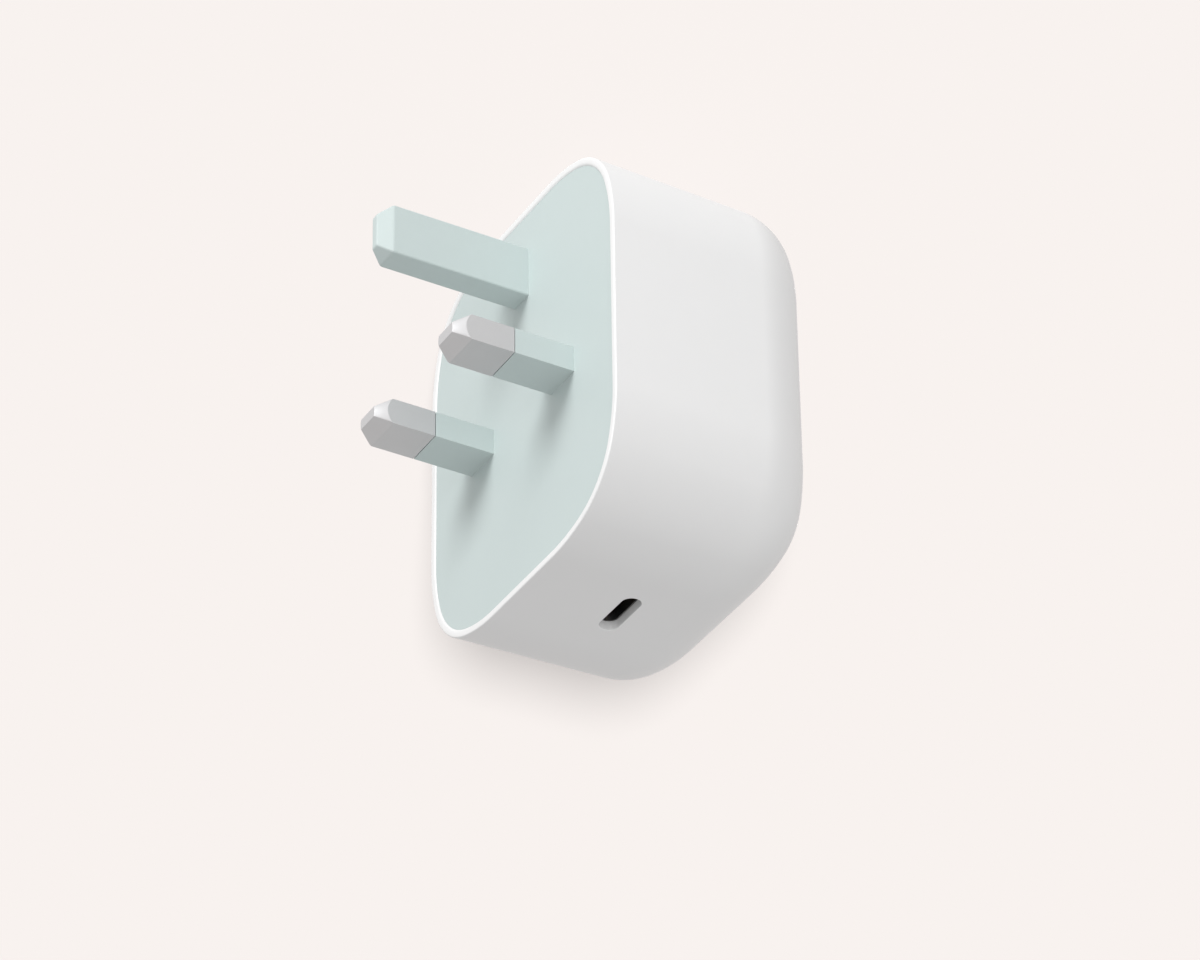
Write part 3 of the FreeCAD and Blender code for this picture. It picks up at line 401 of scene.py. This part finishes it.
def pattern_group(name, draw):
    """A node group that lays a pattern over Object coordinates and gives a mask and a height."""
    if name in bpy.data.node_groups:
        return bpy.data.node_groups[name]
    tree = bpy.data.node_groups.new(name, "ShaderNodeTree")
    tree.interface.new_socket("Scale", in_out="INPUT", socket_type="NodeSocketVector")
    tree.interface.new_socket("Mask", in_out="OUTPUT", socket_type="NodeSocketFloat")
    tree.interface.new_socket("Height", in_out="OUTPUT", socket_type="NodeSocketFloat")
    entry = tree.nodes.new("NodeGroupInput")
    leave = tree.nodes.new("NodeGroupOutput")
    where = tree.nodes.new("ShaderNodeTexCoord")
    scaled = tree.nodes.new("ShaderNodeVectorMath")
    scaled.operation = "MULTIPLY"
    tree.links.new(where.outputs["Object"], scaled.inputs[0])
    tree.links.new(entry.outputs["Scale"], scaled.inputs[1])
    mask, height = draw(tree, scaled.outputs["Vector"])
    tree.links.new(mask, leave.inputs["Mask"])
    tree.links.new(height, leave.inputs["Height"])
    return tree


def draw_grain(tree, place):
    """Fine grain, with a slow drift as the mask."""
    fine = add_node(tree, "ShaderNodeTexNoise", Vector=place, Scale=1.0, Detail=3.0, Roughness=0.6)
    slow = add_node(tree, "ShaderNodeTexNoise", Vector=place, Scale=0.04, Detail=2.0, Roughness=0.5)
    return slow.outputs["Fac"], fine.outputs["Fac"]


def draw_speckle(tree, place):
    """Small separate flecks."""
    cells = add_node(tree, "ShaderNodeTexVoronoi", Vector=place, Scale=1.0)
    fleck = tree.nodes.new("ShaderNodeMapRange")
    put(tree, fleck.inputs["Value"], cells.outputs["Distance"])
    put(tree, fleck.inputs["From Min"], 0.15)
    put(tree, fleck.inputs["From Max"], 0.45)
    return fleck.outputs["Result"], cells.outputs["Distance"]


def draw_turns(tree, place):
    """Close turns of wire or tape, side by side."""
    bands = tree.nodes.new("ShaderNodeTexWave")
    bands.bands_direction = "DIAGONAL"
    for name, value in (("Vector", place), ("Scale", 1.0), ("Distortion", 0.6), ("Detail", 1.0)):
        put(tree, bands.inputs[name], value)
    return bands.outputs["Fac"], bands.outputs["Fac"]


PATTERNS = {"grain": draw_grain, "speckle": draw_speckle, "turns": draw_turns}


def make_finish(name, pattern, scale, dark, light, rough, depth, **shader_values):
    """A surface whose colour, roughness and relief follow a pattern."""
    material = bpy.data.materials.new(name)
    material.use_nodes = True
    tree = material.node_tree
    shader = tree.nodes["Principled BSDF"]
    for key, value in shader_values.items():
        shader.inputs[key.replace("_", " ")].default_value = value
    group = tree.nodes.new("ShaderNodeGroup")
    group.node_tree = pattern_group("charger_" + pattern, PATTERNS[pattern])
    group.inputs["Scale"].default_value = scale
    blend = tree.nodes.new("ShaderNodeMix")
    blend.data_type = "RGBA"
    # The Mix node's sockets for colours, which share their names with those for other data
    share, first, second = (blend.inputs[place] for place in (0, 6, 7))
    tree.links.new(group.outputs["Mask"], share)
    first.default_value = (*dark, 1)
    second.default_value = (*light, 1)
    tree.links.new(blend.outputs[2], shader.inputs["Base Color"])
    spread = tree.nodes.new("ShaderNodeMapRange")
    tree.links.new(group.outputs["Height"], spread.inputs["Value"])
    spread.inputs["To Min"].default_value, spread.inputs["To Max"].default_value = rough
    tree.links.new(spread.outputs["Result"], shader.inputs["Roughness"])
    bump = add_node(tree, "ShaderNodeBump", Height=group.outputs["Height"], Distance=depth, Strength=0.5)
    tree.links.new(bump.outputs["Normal"], shader.inputs["Normal"])
    return material


def shade(colour_value, factor):
    """A colour made darker or lighter."""
    return tuple(min(1, part * factor) for part in colour_value)


def recipes():
    """Every finish by its slot: pattern, scale, two colours, roughness range, relief and shader values."""
    own = bpy.context.scene.charger_finish
    housing, plate, pin, socket = (tuple(item) for item in (own.housing, own.plate, own.pin, own.socket))
    fine = (own.grain,) * 3
    along = (own.grain, own.grain * 0.05, own.grain)
    upright = (own.grain, own.grain, own.grain * 0.05)
    metal = {"Metallic": 1.0}
    plated = {"Metallic": 0.5}
    glossy = {"Coat_Weight": 0.4, "Coat_Roughness": 0.1}
    return {
        "housing_plastic": ("grain", fine, shade(housing, 0.985), housing, (0.38, 0.5), 3e-6, {}),
        "face_plastic": ("grain", fine, shade(plate, 0.985), plate, (0.5, 0.62), 3e-6, {}),
        "pin_metal": ("grain", along, shade(pin, 0.96), pin, (0.5, 0.6), 1.5e-6, plated),
        "spring_metal": ("grain", upright, (0.62, 0.55, 0.42), (0.72, 0.65, 0.5), (0.25, 0.4), 2e-6, metal),
        "contact_gold": ("grain", upright, (0.75, 0.5, 0.2), (0.9, 0.65, 0.3), (0.2, 0.35), 1e-6, metal),
        "circuit_board": ("speckle", (1400,) * 3, (0.01, 0.07, 0.035), (0.02, 0.13, 0.06), (0.35, 0.5), 1e-5,
                          glossy),
        # The socket's steel takes the darkened socket colour: partly its own steel colour, partly painted
        # shade for the shadowed inside of the port.
        "socket_steel": ("grain", upright, shade(socket, 0.9), socket, (0.25, 0.4), 1e-6, metal),
        "black_plastic": ("grain", fine, (0.012, 0.012, 0.013), (0.02, 0.02, 0.022), (0.45, 0.6), 4e-6, {}),
        "ferrite": ("speckle", (3000,) * 3, (0.035, 0.035, 0.038), (0.07, 0.07, 0.075), (0.55, 0.75), 1e-5,
                    {}),
        "copper_wire": ("turns", (1100,) * 3, (0.28, 0.09, 0.03), (0.75, 0.32, 0.12), (0.2, 0.35), 1e-4,
                        metal),
        "tape": ("turns", (250,) * 3, (0.72, 0.5, 0.06), (0.85, 0.62, 0.1), (0.3, 0.4), 2e-5, glossy),
        "can_sleeve": ("grain", (900,) * 3, (0.012, 0.016, 0.03), (0.03, 0.035, 0.06), (0.25, 0.4), 2e-5,
                       glossy),
        "fuse_glass": ("grain", fine, (0.7, 0.72, 0.7), (0.8, 0.82, 0.8), (0.05, 0.12), 1e-6,
                       {"Transmission_Weight": 0.6, "IOR": 1.5}),
        "ceramic_blue": ("speckle", (900,) * 3, (0.02, 0.09, 0.3), (0.03, 0.14, 0.42), (0.2, 0.35), 2e-5,
                         glossy),
        "film_box": ("grain", (2500,) * 3, (0.62, 0.45, 0.06), (0.75, 0.56, 0.1), (0.4, 0.55), 5e-6, {}),
        "thermal_pad": ("speckle", (2200,) * 3, (0.35, 0.3, 0.34), (0.45, 0.4, 0.44), (0.7, 0.85), 1e-5, {}),
        "spreader_metal": ("grain", upright, (0.6, 0.61, 0.62), (0.75, 0.76, 0.77), (0.3, 0.45), 2e-6, metal),
        "barrier_sheet": ("grain", (3500,) * 3, (0.72, 0.7, 0.62), (0.82, 0.8, 0.72), (0.6, 0.8), 8e-6, {}),
    }


def finish(slot):
    """The material of a slot, made once."""
    name = "charger_" + slot
    if name not in bpy.data.materials:
        pattern, scale, dark, light, rough, depth, values = recipes()[slot]
        make_finish(name, pattern, scale, dark, light, rough, depth, **values)
    return bpy.data.materials[name]


# Housing

def outline_arcs(own, inset=0):
    """The arcs of one corner of the outline, moved in by an inset."""
    shoulder = (own.shoulder_radius - inset, own.shoulder_turn, SHOULDER_STEPS)
    corner = (own.corner_radius - inset, math.pi / 2 - 2 * own.shoulder_turn, CORNER_STEPS)
    return (shoulder, corner, shoulder)


def outline(own, inset, depth):
    """The soft-cornered outline as one face looking forwards."""
    half_width = HOUSING_HIGH.x - inset
    half_height = (HOUSING_HIGH.z - HOUSING_LOW.z) / 2 - inset
    bm = soft_rectangle(half_width, half_height, outline_arcs(own, inset))
    stand_up(bm, (0, depth, (HOUSING_HIGH.z + HOUSING_LOW.z) / 2))
    return bm


def rounding(start_inset, start_depth, radius, first, last, steps):
    """Insets and depths along a round edge, from one lean to another."""
    leans = [first + (last - first) * step / steps for step in range(steps + 1)]
    return [(start_inset - radius * math.cos(lean), start_depth + radius * math.sin(lean)) for lean in leans]


def second_cap(bm):
    """Close the open end that a walk has left behind."""
    edges = [edge for edge in bm.edges if edge.is_boundary]
    return bmesh.ops.contextual_create(bm, geom=edges)["faces"][0]


def housing_shell(own):
    """The hollow housing: soft rear edge outside and in, rim, plate seat and drafted cavity."""
    front, rear = HOUSING_LOW.y, HOUSING_HIGH.y
    slope = math.tan(own.draft)
    start = (slope * own.rim_round, front + own.rim_round)
    bm = outline(own, *start)

    turn = rear - own.rear_round
    middle = slope * (turn - front) + own.rear_round / math.cos(own.draft)
    outside = [start] + rounding(middle, turn, own.rear_round, own.draft, math.pi / 2, REAR_STEPS)
    walk(bm, bm.faces[:][0], outside)

    seat = bpy.context.scene.charger_plate.thickness
    radius = own.rear_round - own.wall
    floor = rear - own.wall
    inner = own.wall + slope * (turn - front) + radius / math.cos(own.draft)
    rim = [(own.rim_round * (1 - math.sin(lean)), front + own.rim_round * (1 - math.cos(lean)))
           for lean in map(math.radians, RIM_LEANS)]
    lip = [(own.rim_width - own.seat_round * inset, front + own.seat_round * depth) for inset, depth in LIP]
    ledge = [(own.rim_width, seat), (own.wall + slope * (seat - front), seat)]
    cavity = rounding(inner, floor - radius, radius, own.draft, math.pi / 2, CAVITY_STEPS)
    walk(bm, second_cap(bm), [start] + rim + lip + ledge + cavity)
    return bm


def port_prism(own, width, height, low, high):
    """An upright prism with round ends at the port."""
    bm = soft_rectangle(width / 2, height / 2, [(height / 2, math.pi / 2, SLOT_END_STEPS)])
    bmesh.ops.translate(bm, vec=(0, own.port_depth, low), verts=bm.verts)
    pull(bm, bm.faces[:], (0, 0, high - low))
    return bm


def soften_slot(bm, own):
    """Round the edge where the port's opening meets the outside."""
    reach = (own.slot_width - own.slot_height) / 2
    radius = own.slot_height / 2
    level = HOUSING_LOW.z + own.slot_height / 4
    near, flat = 1e-5, 2e-4

    def on_mouth(vert):
        across = max(0, abs(vert.co.x) - reach)
        away = math.hypot(across, vert.co.y - own.port_depth)
        return vert.co.z < level and abs(away - radius) < near

    edges = [edge for edge in bm.edges if all(on_mouth(vert) for vert in edge.verts)
             and abs(edge.verts[0].co.z - edge.verts[1].co.z) < flat]
    soften(bm, edges, own.slot_round, 3)


class CHARGER_OT_housing(bpy.types.Operator):
    """Model the moulded housing with its port and board ribs"""

    bl_idname = "charger.housing"
    bl_label = "Housing"

    def execute(self, context):
        own = context.scene.charger_housing
        piece = solid("housing", housing_shell(own))
        seat = SOCKET_LOW.z - own.nest_gap
        outside = HOUSING_LOW.z - own.wall
        mouth = port_prism(own, own.slot_width, own.slot_height, outside, seat + own.nest_gap)
        combine(piece, mouth, "DIFFERENCE")
        clear = 2 * own.nest_gap
        width = SOCKET_HIGH.x - SOCKET_LOW.x + clear
        height = SOCKET_HIGH.y - SOCKET_LOW.y + clear
        combine(piece, port_prism(own, width, height, seat, seat + own.wall), "DIFFERENCE")
        self.add_ribs(piece, own)
        edit(piece, soften_slot, own)
        finish_piece(piece, ["outer_shell"], "housing_plastic")
        return {"FINISHED"}

    @staticmethod
    def add_ribs(piece, own):
        """Board ribs on both side walls."""
        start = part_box("main_board")[1].y
        end = HOUSING_HIGH.y - own.rear_round
        outer = HOUSING_HIGH.x - own.wall / 2
        inner = HOUSING_HIGH.x - own.wall - math.tan(own.draft) * (start - HOUSING_LOW.y) - own.rib_reach
        for side in (-1, 1):
            for level in (-1, 1):
                across = sorted((side * inner, side * outer))
                up = level * own.rib_up
                low = (across[0], start, up - own.rib_width / 2)
                high = (across[1], end, up + own.rib_width / 2)
                combine(piece, block(low, high), "UNION")


# Plate, pins and sleeves

class CHARGER_OT_face_plate(bpy.types.Operator):
    """Model the plate with its earth pin, skirt, posts and pin holes"""

    bl_idname = "charger.face_plate"
    bl_label = "Face plate"

    def execute(self, context):
        own = context.scene.charger_plate
        piece = solid("face_plate", self.plate(own, context.scene.charger_housing))
        for side in (-1, 1):
            for up in (own.post_above, -own.post_below):
                combine(piece, self.post(own, side * own.post_across, up), "UNION")
        combine(piece, self.earth_bar(own), "UNION")
        half_width, half_height = own.core_width / 2, own.core_height / 2
        hollow = block((-half_width, -own.core_depth, own.earth_up - half_height),
                       (half_width, 2 * own.thickness, own.earth_up + half_height))
        combine(piece, hollow, "DIFFERENCE")
        pins = context.scene.charger_pins
        for side in (-1, 1):
            half = Vector((pins.width / 2, own.thickness, pins.height / 2))
            middle = Vector((side * pins.offset, own.thickness / 2, 0))
            combine(piece, block(middle - half, middle + half), "DIFFERENCE")
        finish_piece(piece, ["pin_plate"], "face_plastic")
        return {"FINISHED"}

    @staticmethod
    def plate(own, housing):
        """The plate and the skirt behind it."""
        edge = housing.rim_width + own.gap
        start = (edge, own.edge_round)
        bm = outline(housing, *start)
        inner = (housing.wall + math.tan(housing.draft) * (own.thickness + own.skirt_height - HOUSING_LOW.y)
                 + own.skirt_gap)
        end = own.thickness + own.skirt_height
        walk(bm, bm.faces[:][0], [start, (edge, own.thickness), (inner, own.thickness), (inner, end),
                                  (inner + own.skirt_thickness, end),
                                  (inner + own.skirt_thickness, own.thickness)])
        size = own.edge_round
        walk(bm, second_cap(bm), [start, (edge + size * 0.3, size * 0.3), (edge + size, 0)])
        return bm

    @staticmethod
    def post(own, across, up):
        """A round board post."""
        bm = bmesh.new()
        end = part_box("main_board")[0].y
        low = own.thickness / 2
        bmesh.ops.create_cone(bm, cap_ends=True, segments=POST_STEPS, radius1=own.post_radius,
                              radius2=own.post_radius, depth=end - low)
        bmesh.ops.transform(bm, matrix=Matrix.Translation((across, (low + end) / 2, up))
                            @ Matrix.Rotation(math.radians(90), 4, "X"), verts=bm.verts)
        return bm

    @staticmethod
    def earth_bar(own):
        """The earth pin with its bevelled tip, started inside the plate."""
        half_width, half_height = own.earth_width / 2, own.earth_height / 2
        straight = PLATE_LOW.y + own.earth_tip
        bm = block((-half_width, straight, own.earth_up - half_height),
                   (half_width, own.thickness / 2, own.earth_up + half_height))
        walk(bm, facing(bm, (0, -1, 0)), [(0, straight), (own.earth_bevel, PLATE_LOW.y)])
        edges = [edge for edge in bm.edges if min(vert.co.y for vert in edge.verts) < own.thickness / 4]
        soften(bm, edges, own.earth_round, 3)
        return bm


class CHARGER_OT_pins(bpy.types.Operator):
    """Model the line and neutral pins with bevelled and turned tips"""

    bl_idname = "charger.pins"
    bl_label = "Line and neutral pins"

    def execute(self, context):
        own = context.scene.charger_pins
        for name, side in (("line", -1), ("neutral", 1)):
            piece = solid(name + "_blade", self.blank(own, side))
            combine(piece, self.turned_shape(own, side), "INTERSECT")
            soften_bends(piece, own.edge_round, 20)
            finish_piece(piece, [name + "_pin"], "pin_metal", SHARP_PIN)
        return {"FINISHED"}

    @staticmethod
    def blank(own, side):
        """The flat pin with its neck and head."""
        plate = bpy.context.scene.charger_plate.thickness
        half_width, half_height = own.width / 2, own.height / 2
        middle = side * own.offset
        bm = block((middle - half_width, LINE_LOW.y + own.tip_length, -half_height),
                   (middle + half_width, -own.sleeve_length, half_height))
        front, rear = facing(bm, (0, -1, 0)), facing(bm, (0, 1, 0))
        carry(bm, front, -own.tip_length, 1, own.tip_face / own.height)
        narrow_width = 1 - 2 * own.sleeve_wall / own.width
        narrow_height = 1 - 2 * own.sleeve_wall / own.height
        rear = carry(bm, rear, 0, narrow_width, narrow_height)
        rear = carry(bm, rear, own.sleeve_length + plate)
        rear = carry(bm, rear, 0, (1 + 2 * own.head_rim / own.width) / narrow_width,
                     (1 + 2 * own.head_rim / own.height) / narrow_height)
        carry(bm, rear, LINE_HIGH.y - plate)
        return bm

    @staticmethod
    def turned_shape(own, side):
        """A turned blank: a cone from the tip into a wide cylinder."""
        bm = bmesh.new()
        tip, reach = LINE_LOW.y, 2 * own.width
        ahead, behind = tip - own.tip_length * 1e-3, LINE_HIGH.y + own.width
        cone = tip + (reach - own.tip_radius) / own.tip_slope
        end = bm.verts.new((0, ahead, 0))
        for across, depth in ((own.tip_radius, ahead), (reach, cone), (reach, behind), (0, behind)):
            end = drag(bm, end, (across, depth, 0))
        bmesh.ops.spin(bm, geom=bm.verts[:] + bm.edges[:], cent=(0, 0, 0), axis=(0, 1, 0), dvec=(0, 0, 0),
                       angle=math.tau, steps=TURNED_STEPS, use_merge=True, use_normal_flip=False,
                       use_duplicate=False)
        bmesh.ops.remove_doubles(bm, verts=bm.verts, dist=MERGE_DISTANCE)
        bmesh.ops.translate(bm, vec=(side * own.offset, 0, 0), verts=bm.verts)
        return bm


class CHARGER_OT_sleeves(bpy.types.Operator):
    """Model the insulating sleeves round the necks of the pins"""

    bl_idname = "charger.sleeves"
    bl_label = "Pin sleeves"

    def execute(self, context):
        own = context.scene.charger_pins
        for name, side in (("line", -1), ("neutral", 1)):
            bm = soft_rectangle(own.width / 2, own.height / 2)
            start = SLEEVE_LOW.y + own.seam
            stand_up(bm, (side * own.offset, start, 0))
            face = bm.faces[:][0]
            bmesh.ops.inset_region(bm, faces=[face], thickness=own.sleeve_wall, depth=0, use_boundary=True,
                                   use_even_offset=True)
            bmesh.ops.delete(bm, geom=[face], context="FACES")
            pull(bm, bm.faces[:], (0, SLEEVE_HIGH.y - start, 0))
            piece = solid(name + "_sleeve", bm)
            soften_bends(piece, own.sleeve_round, 30)
            finish_piece(piece, [name + "_pin_sleeve"], "face_plastic", SHARP_PIN)
        return {"FINISHED"}


class CHARGER_OT_inner_finishes(bpy.types.Operator):
    """Give every part inside the housing its own finish"""

    bl_idname = "charger.inner_finishes"
    bl_label = "Inner finishes"

    def execute(self, context):
        slots = {item["node"]: item["material_slot"] for item in frame["record"]["subparts"]}
        for name, node in frame["nodes"].items():
            node.data.materials.clear()
            node.data.materials.append(finish(slots[name]))
        return {"FINISHED"}


# Studio

# Each lamp's azimuth and elevation in degrees, its distance and its side in metres, and its power in watts
LAMPS = {
    "lamp_front": ((13, 26), 1.2, 0.5, 8.2),
    "lamp_side": ((80, -15), 1.2, 0.7, 1.9),
    "lamp_low": ((84, -22), 1.2, 0.3, 1.5),
    "lamp_rear": ((232, 30), 1.2, 0.4, 5.0),
    "lamp_near_above": ((60, 50), 0.2, 0.1, 0.054),
    "lamp_near_front": ((60, -5), 0.2, 0.1, 0.033),
}
UNMIRRORED_LAMP = "lamp_rear"   # in a mirror it would put a broken white line on the housing's edge

# Each sheet's own far lamp: its azimuth and elevation, and the spread of its light, in degrees, the part of
# the sheet's brightness that it gives, and the part of the sheet's colour that takes light at all
FLOOR_LAMP = ((25, 55), 18, 0.24, 0.4)
CEILING_LAMP = ((60.9, -31.0), 5.5, 0.45, 0.05)


def view_axes(azimuth, elevation):
    """Right, up and back of a view from an azimuth and an elevation."""
    back = Vector((math.sin(azimuth) * math.cos(elevation), -math.cos(azimuth) * math.cos(elevation),
                   math.sin(elevation)))
    right = Vector((math.cos(azimuth), math.sin(azimuth), 0))
    return right, back.cross(right), back


def seen_from(right, up, back, place):
    """The matrix of something at a place that looks against its back axis."""
    turned = Matrix((right, up, back)).transposed().to_4x4()
    return Matrix.Translation(place) @ turned


def paper(name, colour_value, glow, share):
    """A pale surface seen from its front only, which glows and takes a share of the light on it."""
    material = bpy.data.materials.new(name)
    material.use_nodes = True
    tree = material.node_tree
    tree.nodes.clear()
    matt = add_node(tree, "ShaderNodeBsdfDiffuse", Color=(*shade(colour_value, share), 1))
    light = add_node(tree, "ShaderNodeEmission", Color=(*colour_value, 1), Strength=glow)
    clear = tree.nodes.new("ShaderNodeBsdfTransparent")
    both = tree.nodes.new("ShaderNodeAddShader")
    side = tree.nodes.new("ShaderNodeNewGeometry")
    front_only = tree.nodes.new("ShaderNodeMixShader")
    output = tree.nodes.new("ShaderNodeOutputMaterial")
    tree.links.new(matt.outputs[0], both.inputs[0])
    tree.links.new(light.outputs[0], both.inputs[1])
    tree.links.new(side.outputs["Backfacing"], front_only.inputs[0])
    tree.links.new(both.outputs[0], front_only.inputs[1])
    tree.links.new(clear.outputs[0], front_only.inputs[2])
    tree.links.new(front_only.outputs[0], output.inputs["Surface"])
    return material


def sheet_of_paper(name, matrix, *look):
    """A large pale sheet, which isn't part of the object."""
    bm = bmesh.new()
    bmesh.ops.create_grid(bm, x_segments=1, y_segments=1, size=SHEET_REACH)
    bmesh.ops.transform(bm, matrix=matrix, verts=bm.verts)
    mesh = bpy.data.meshes.new(name)
    bm.to_mesh(mesh)
    bm.free()
    sheet = bpy.data.objects.new(name, mesh)
    bpy.context.scene.collection.objects.link(sheet)
    sheet.data.materials.append(paper(name, *look))
    sheet.visible_diffuse = False
    sheet.visible_glossy = False
    sheet.visible_transmission = False
    sheet.visible_shadow = False
    sheet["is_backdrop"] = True
    return sheet


class CHARGER_OT_studio(bpy.types.Operator):
    """Set up the camera, lamps, stage sheets and background"""

    bl_idname = "charger.studio"
    bl_label = "Studio"

    def execute(self, context):
        own = context.scene.charger_studio
        self.add_camera(context, own)
        low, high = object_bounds()
        middle = (Vector(low) + Vector(high)) / 2
        below = Matrix.Translation((middle.x, middle.y, HOUSING_LOW.z))
        corner = Vector((HOUSING_HIGH.x, HOUSING_LOW.y, HOUSING_HIGH.z + own.ceiling_gap))
        across = view_axes(own.azimuth, own.elevation)[0]
        above = Matrix.Translation(corner) @ Matrix.Rotation(math.pi + own.ceiling_tilt, 4, across)
        housing = bpy.data.objects["housing"]
        sheets = [self.lit_sheet(context, own, "floor", below, *FLOOR_LAMP),
                  self.lit_sheet(context, own, "ceiling", above, *CEILING_LAMP, housing)]
        unlit = self.linked("not_lit_by_lamps", "EXCLUDE", *sheets)
        for name, values in LAMPS.items():
            lamp = self.add_lamp(context, name, middle, *values)
            lamp.light_linking.receiver_collection = unlit
            lamp.visible_glossy = name != UNMIRRORED_LAMP
        self.light_world(context, own)
        return {"FINISHED"}

    @staticmethod
    def add_camera(context, own):
        """The camera at the photograph's angle, with its lean and shift."""
        right, up, back = view_axes(own.azimuth, own.elevation)
        roll = Matrix.Rotation(own.roll, 3, back)
        right, up = roll @ right, roll @ up
        place = own.slide[0] * right + own.slide[1] * up + own.distance * back
        camera = bpy.data.objects.new("camera", bpy.data.cameras.new("camera"))
        camera.data.lens = own.lens
        camera.data.clip_start = 0.01
        camera.matrix_world = seen_from(right, up, back, place)
        context.scene.collection.objects.link(camera)
        context.scene.camera = camera
        context.scene.view_settings.view_transform = "Standard"

    @classmethod
    def lit_sheet(cls, context, own, name, matrix, direction, spread, strength, share, *blockers):
        """A sheet as bright as the background, with a far lamp of its own that the object shades."""
        glow = 1 - share * own.ambient - strength
        sheet = sheet_of_paper(name, matrix, tuple(own.background), glow, share)
        right, up, back = view_axes(math.radians(direction[0]), math.radians(direction[1]))
        data = bpy.data.lights.new("lamp_" + name, "SUN")
        data.angle = math.radians(spread)
        data.energy = strength * math.pi / (share * matrix.col[2].to_3d().dot(back))
        lamp = bpy.data.objects.new("lamp_" + name, data)
        lamp.matrix_world = seen_from(right, up, back, back)
        context.scene.collection.objects.link(lamp)
        lamp.light_linking.receiver_collection = cls.linked("lit_by_" + name + "_lamp", "INCLUDE", sheet)
        if blockers:
            lamp.light_linking.blocker_collection = cls.linked("shading_the_" + name, "INCLUDE", *blockers)
        return sheet

    @staticmethod
    def linked(name, state, *things):
        """A collection that lets a lamp reach some things only, or all but them."""
        group = bpy.data.collections.new(name)
        for thing in things:
            group.objects.link(thing)
        for member in group.collection_objects:
            member.light_linking.link_state = state
        return group

    @staticmethod
    def add_lamp(context, name, middle, direction, distance, size, power):
        """A square soft lamp aimed at the middle of the object."""
        data = bpy.data.lights.new(name, "AREA")
        data.size = size
        data.energy = power
        lamp = bpy.data.objects.new(name, data)
        right, up, back = view_axes(math.radians(direction[0]), math.radians(direction[1]))
        lamp.matrix_world = seen_from(right, up, back, middle + distance * back)
        lamp.visible_camera = False
        context.scene.collection.objects.link(lamp)
        return lamp

    @staticmethod
    def light_world(context, own):
        """Even light on the object, with the background's colour where it is seen or mirrored."""
        world = bpy.data.worlds.new("studio")
        context.scene.world = world
        world.use_nodes = True
        tree = world.node_tree
        tree.nodes.clear()
        ray = tree.nodes.new("ShaderNodeLightPath")
        seen, mirrored = (tree.nodes.new("ShaderNodeMath") for _ in range(2))
        seen.operation = mirrored.operation = "MAXIMUM"
        tree.links.new(ray.outputs["Is Camera Ray"], seen.inputs[0])
        tree.links.new(mirrored.outputs[0], seen.inputs[1])
        tree.links.new(ray.outputs["Is Glossy Ray"], mirrored.inputs[0])
        tree.links.new(ray.outputs["Is Transmission Ray"], mirrored.inputs[1])
        even = add_node(tree, "ShaderNodeBackground", Color=(1, 1, 1, 1), Strength=own.ambient)
        shown = add_node(tree, "ShaderNodeBackground", Color=(*own.background, 1), Strength=1.0)
        mix = tree.nodes.new("ShaderNodeMixShader")
        output = tree.nodes.new("ShaderNodeOutputWorld")
        tree.links.new(seen.outputs[0], mix.inputs[0])
        tree.links.new(even.outputs[0], mix.inputs[1])
        tree.links.new(shown.outputs[0], mix.inputs[2])
        tree.links.new(mix.outputs[0], output.inputs["Surface"])


class CHARGER_PT_panel(bpy.types.Panel):
    """Lists the charger's settings and steps"""

    bl_idname = "CHARGER_PT_panel"
    bl_label = "Charger"
    bl_space_type = "VIEW_3D"
    bl_region_type = "UI"
    bl_category = "Charger"

    def draw(self, context):
        for step in STEPS:
            self.layout.operator(step.bl_idname)
        for key in GROUPS:
            settings = getattr(context.scene, key)
            box = self.layout.box()
            box.label(text=key.replace("_", " ").capitalize())
            for name in settings.bl_rna.properties.keys():
                if name not in ("rna_type", "name"):
                    box.prop(settings, name)


STEPS = (CHARGER_OT_housing, CHARGER_OT_face_plate, CHARGER_OT_pins, CHARGER_OT_sleeves,
         CHARGER_OT_inner_finishes, CHARGER_OT_studio)


def register():
    """Make the settings, steps and panel known to Blender."""
    for kind in (*GROUPS.values(), *STEPS, CHARGER_PT_panel):
        bpy.utils.register_class(kind)
    for key, kind in GROUPS.items():
        setattr(bpy.types.Scene, key, bpy.props.PointerProperty(type=kind))


def unregister():
    """Take the settings, steps and panel away again."""
    for key in GROUPS:
        delattr(bpy.types.Scene, key)
    for kind in (CHARGER_PT_panel, *reversed(STEPS), *reversed(GROUPS.values())):
        bpy.utils.unregister_class(kind)


def main():
    """Build the whole scene."""
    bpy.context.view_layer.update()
    register()
    for step in STEPS:
        group, name = step.bl_idname.split(".")
        getattr(getattr(bpy.ops, group), name)()


if __name__ == "__main__":
    main()
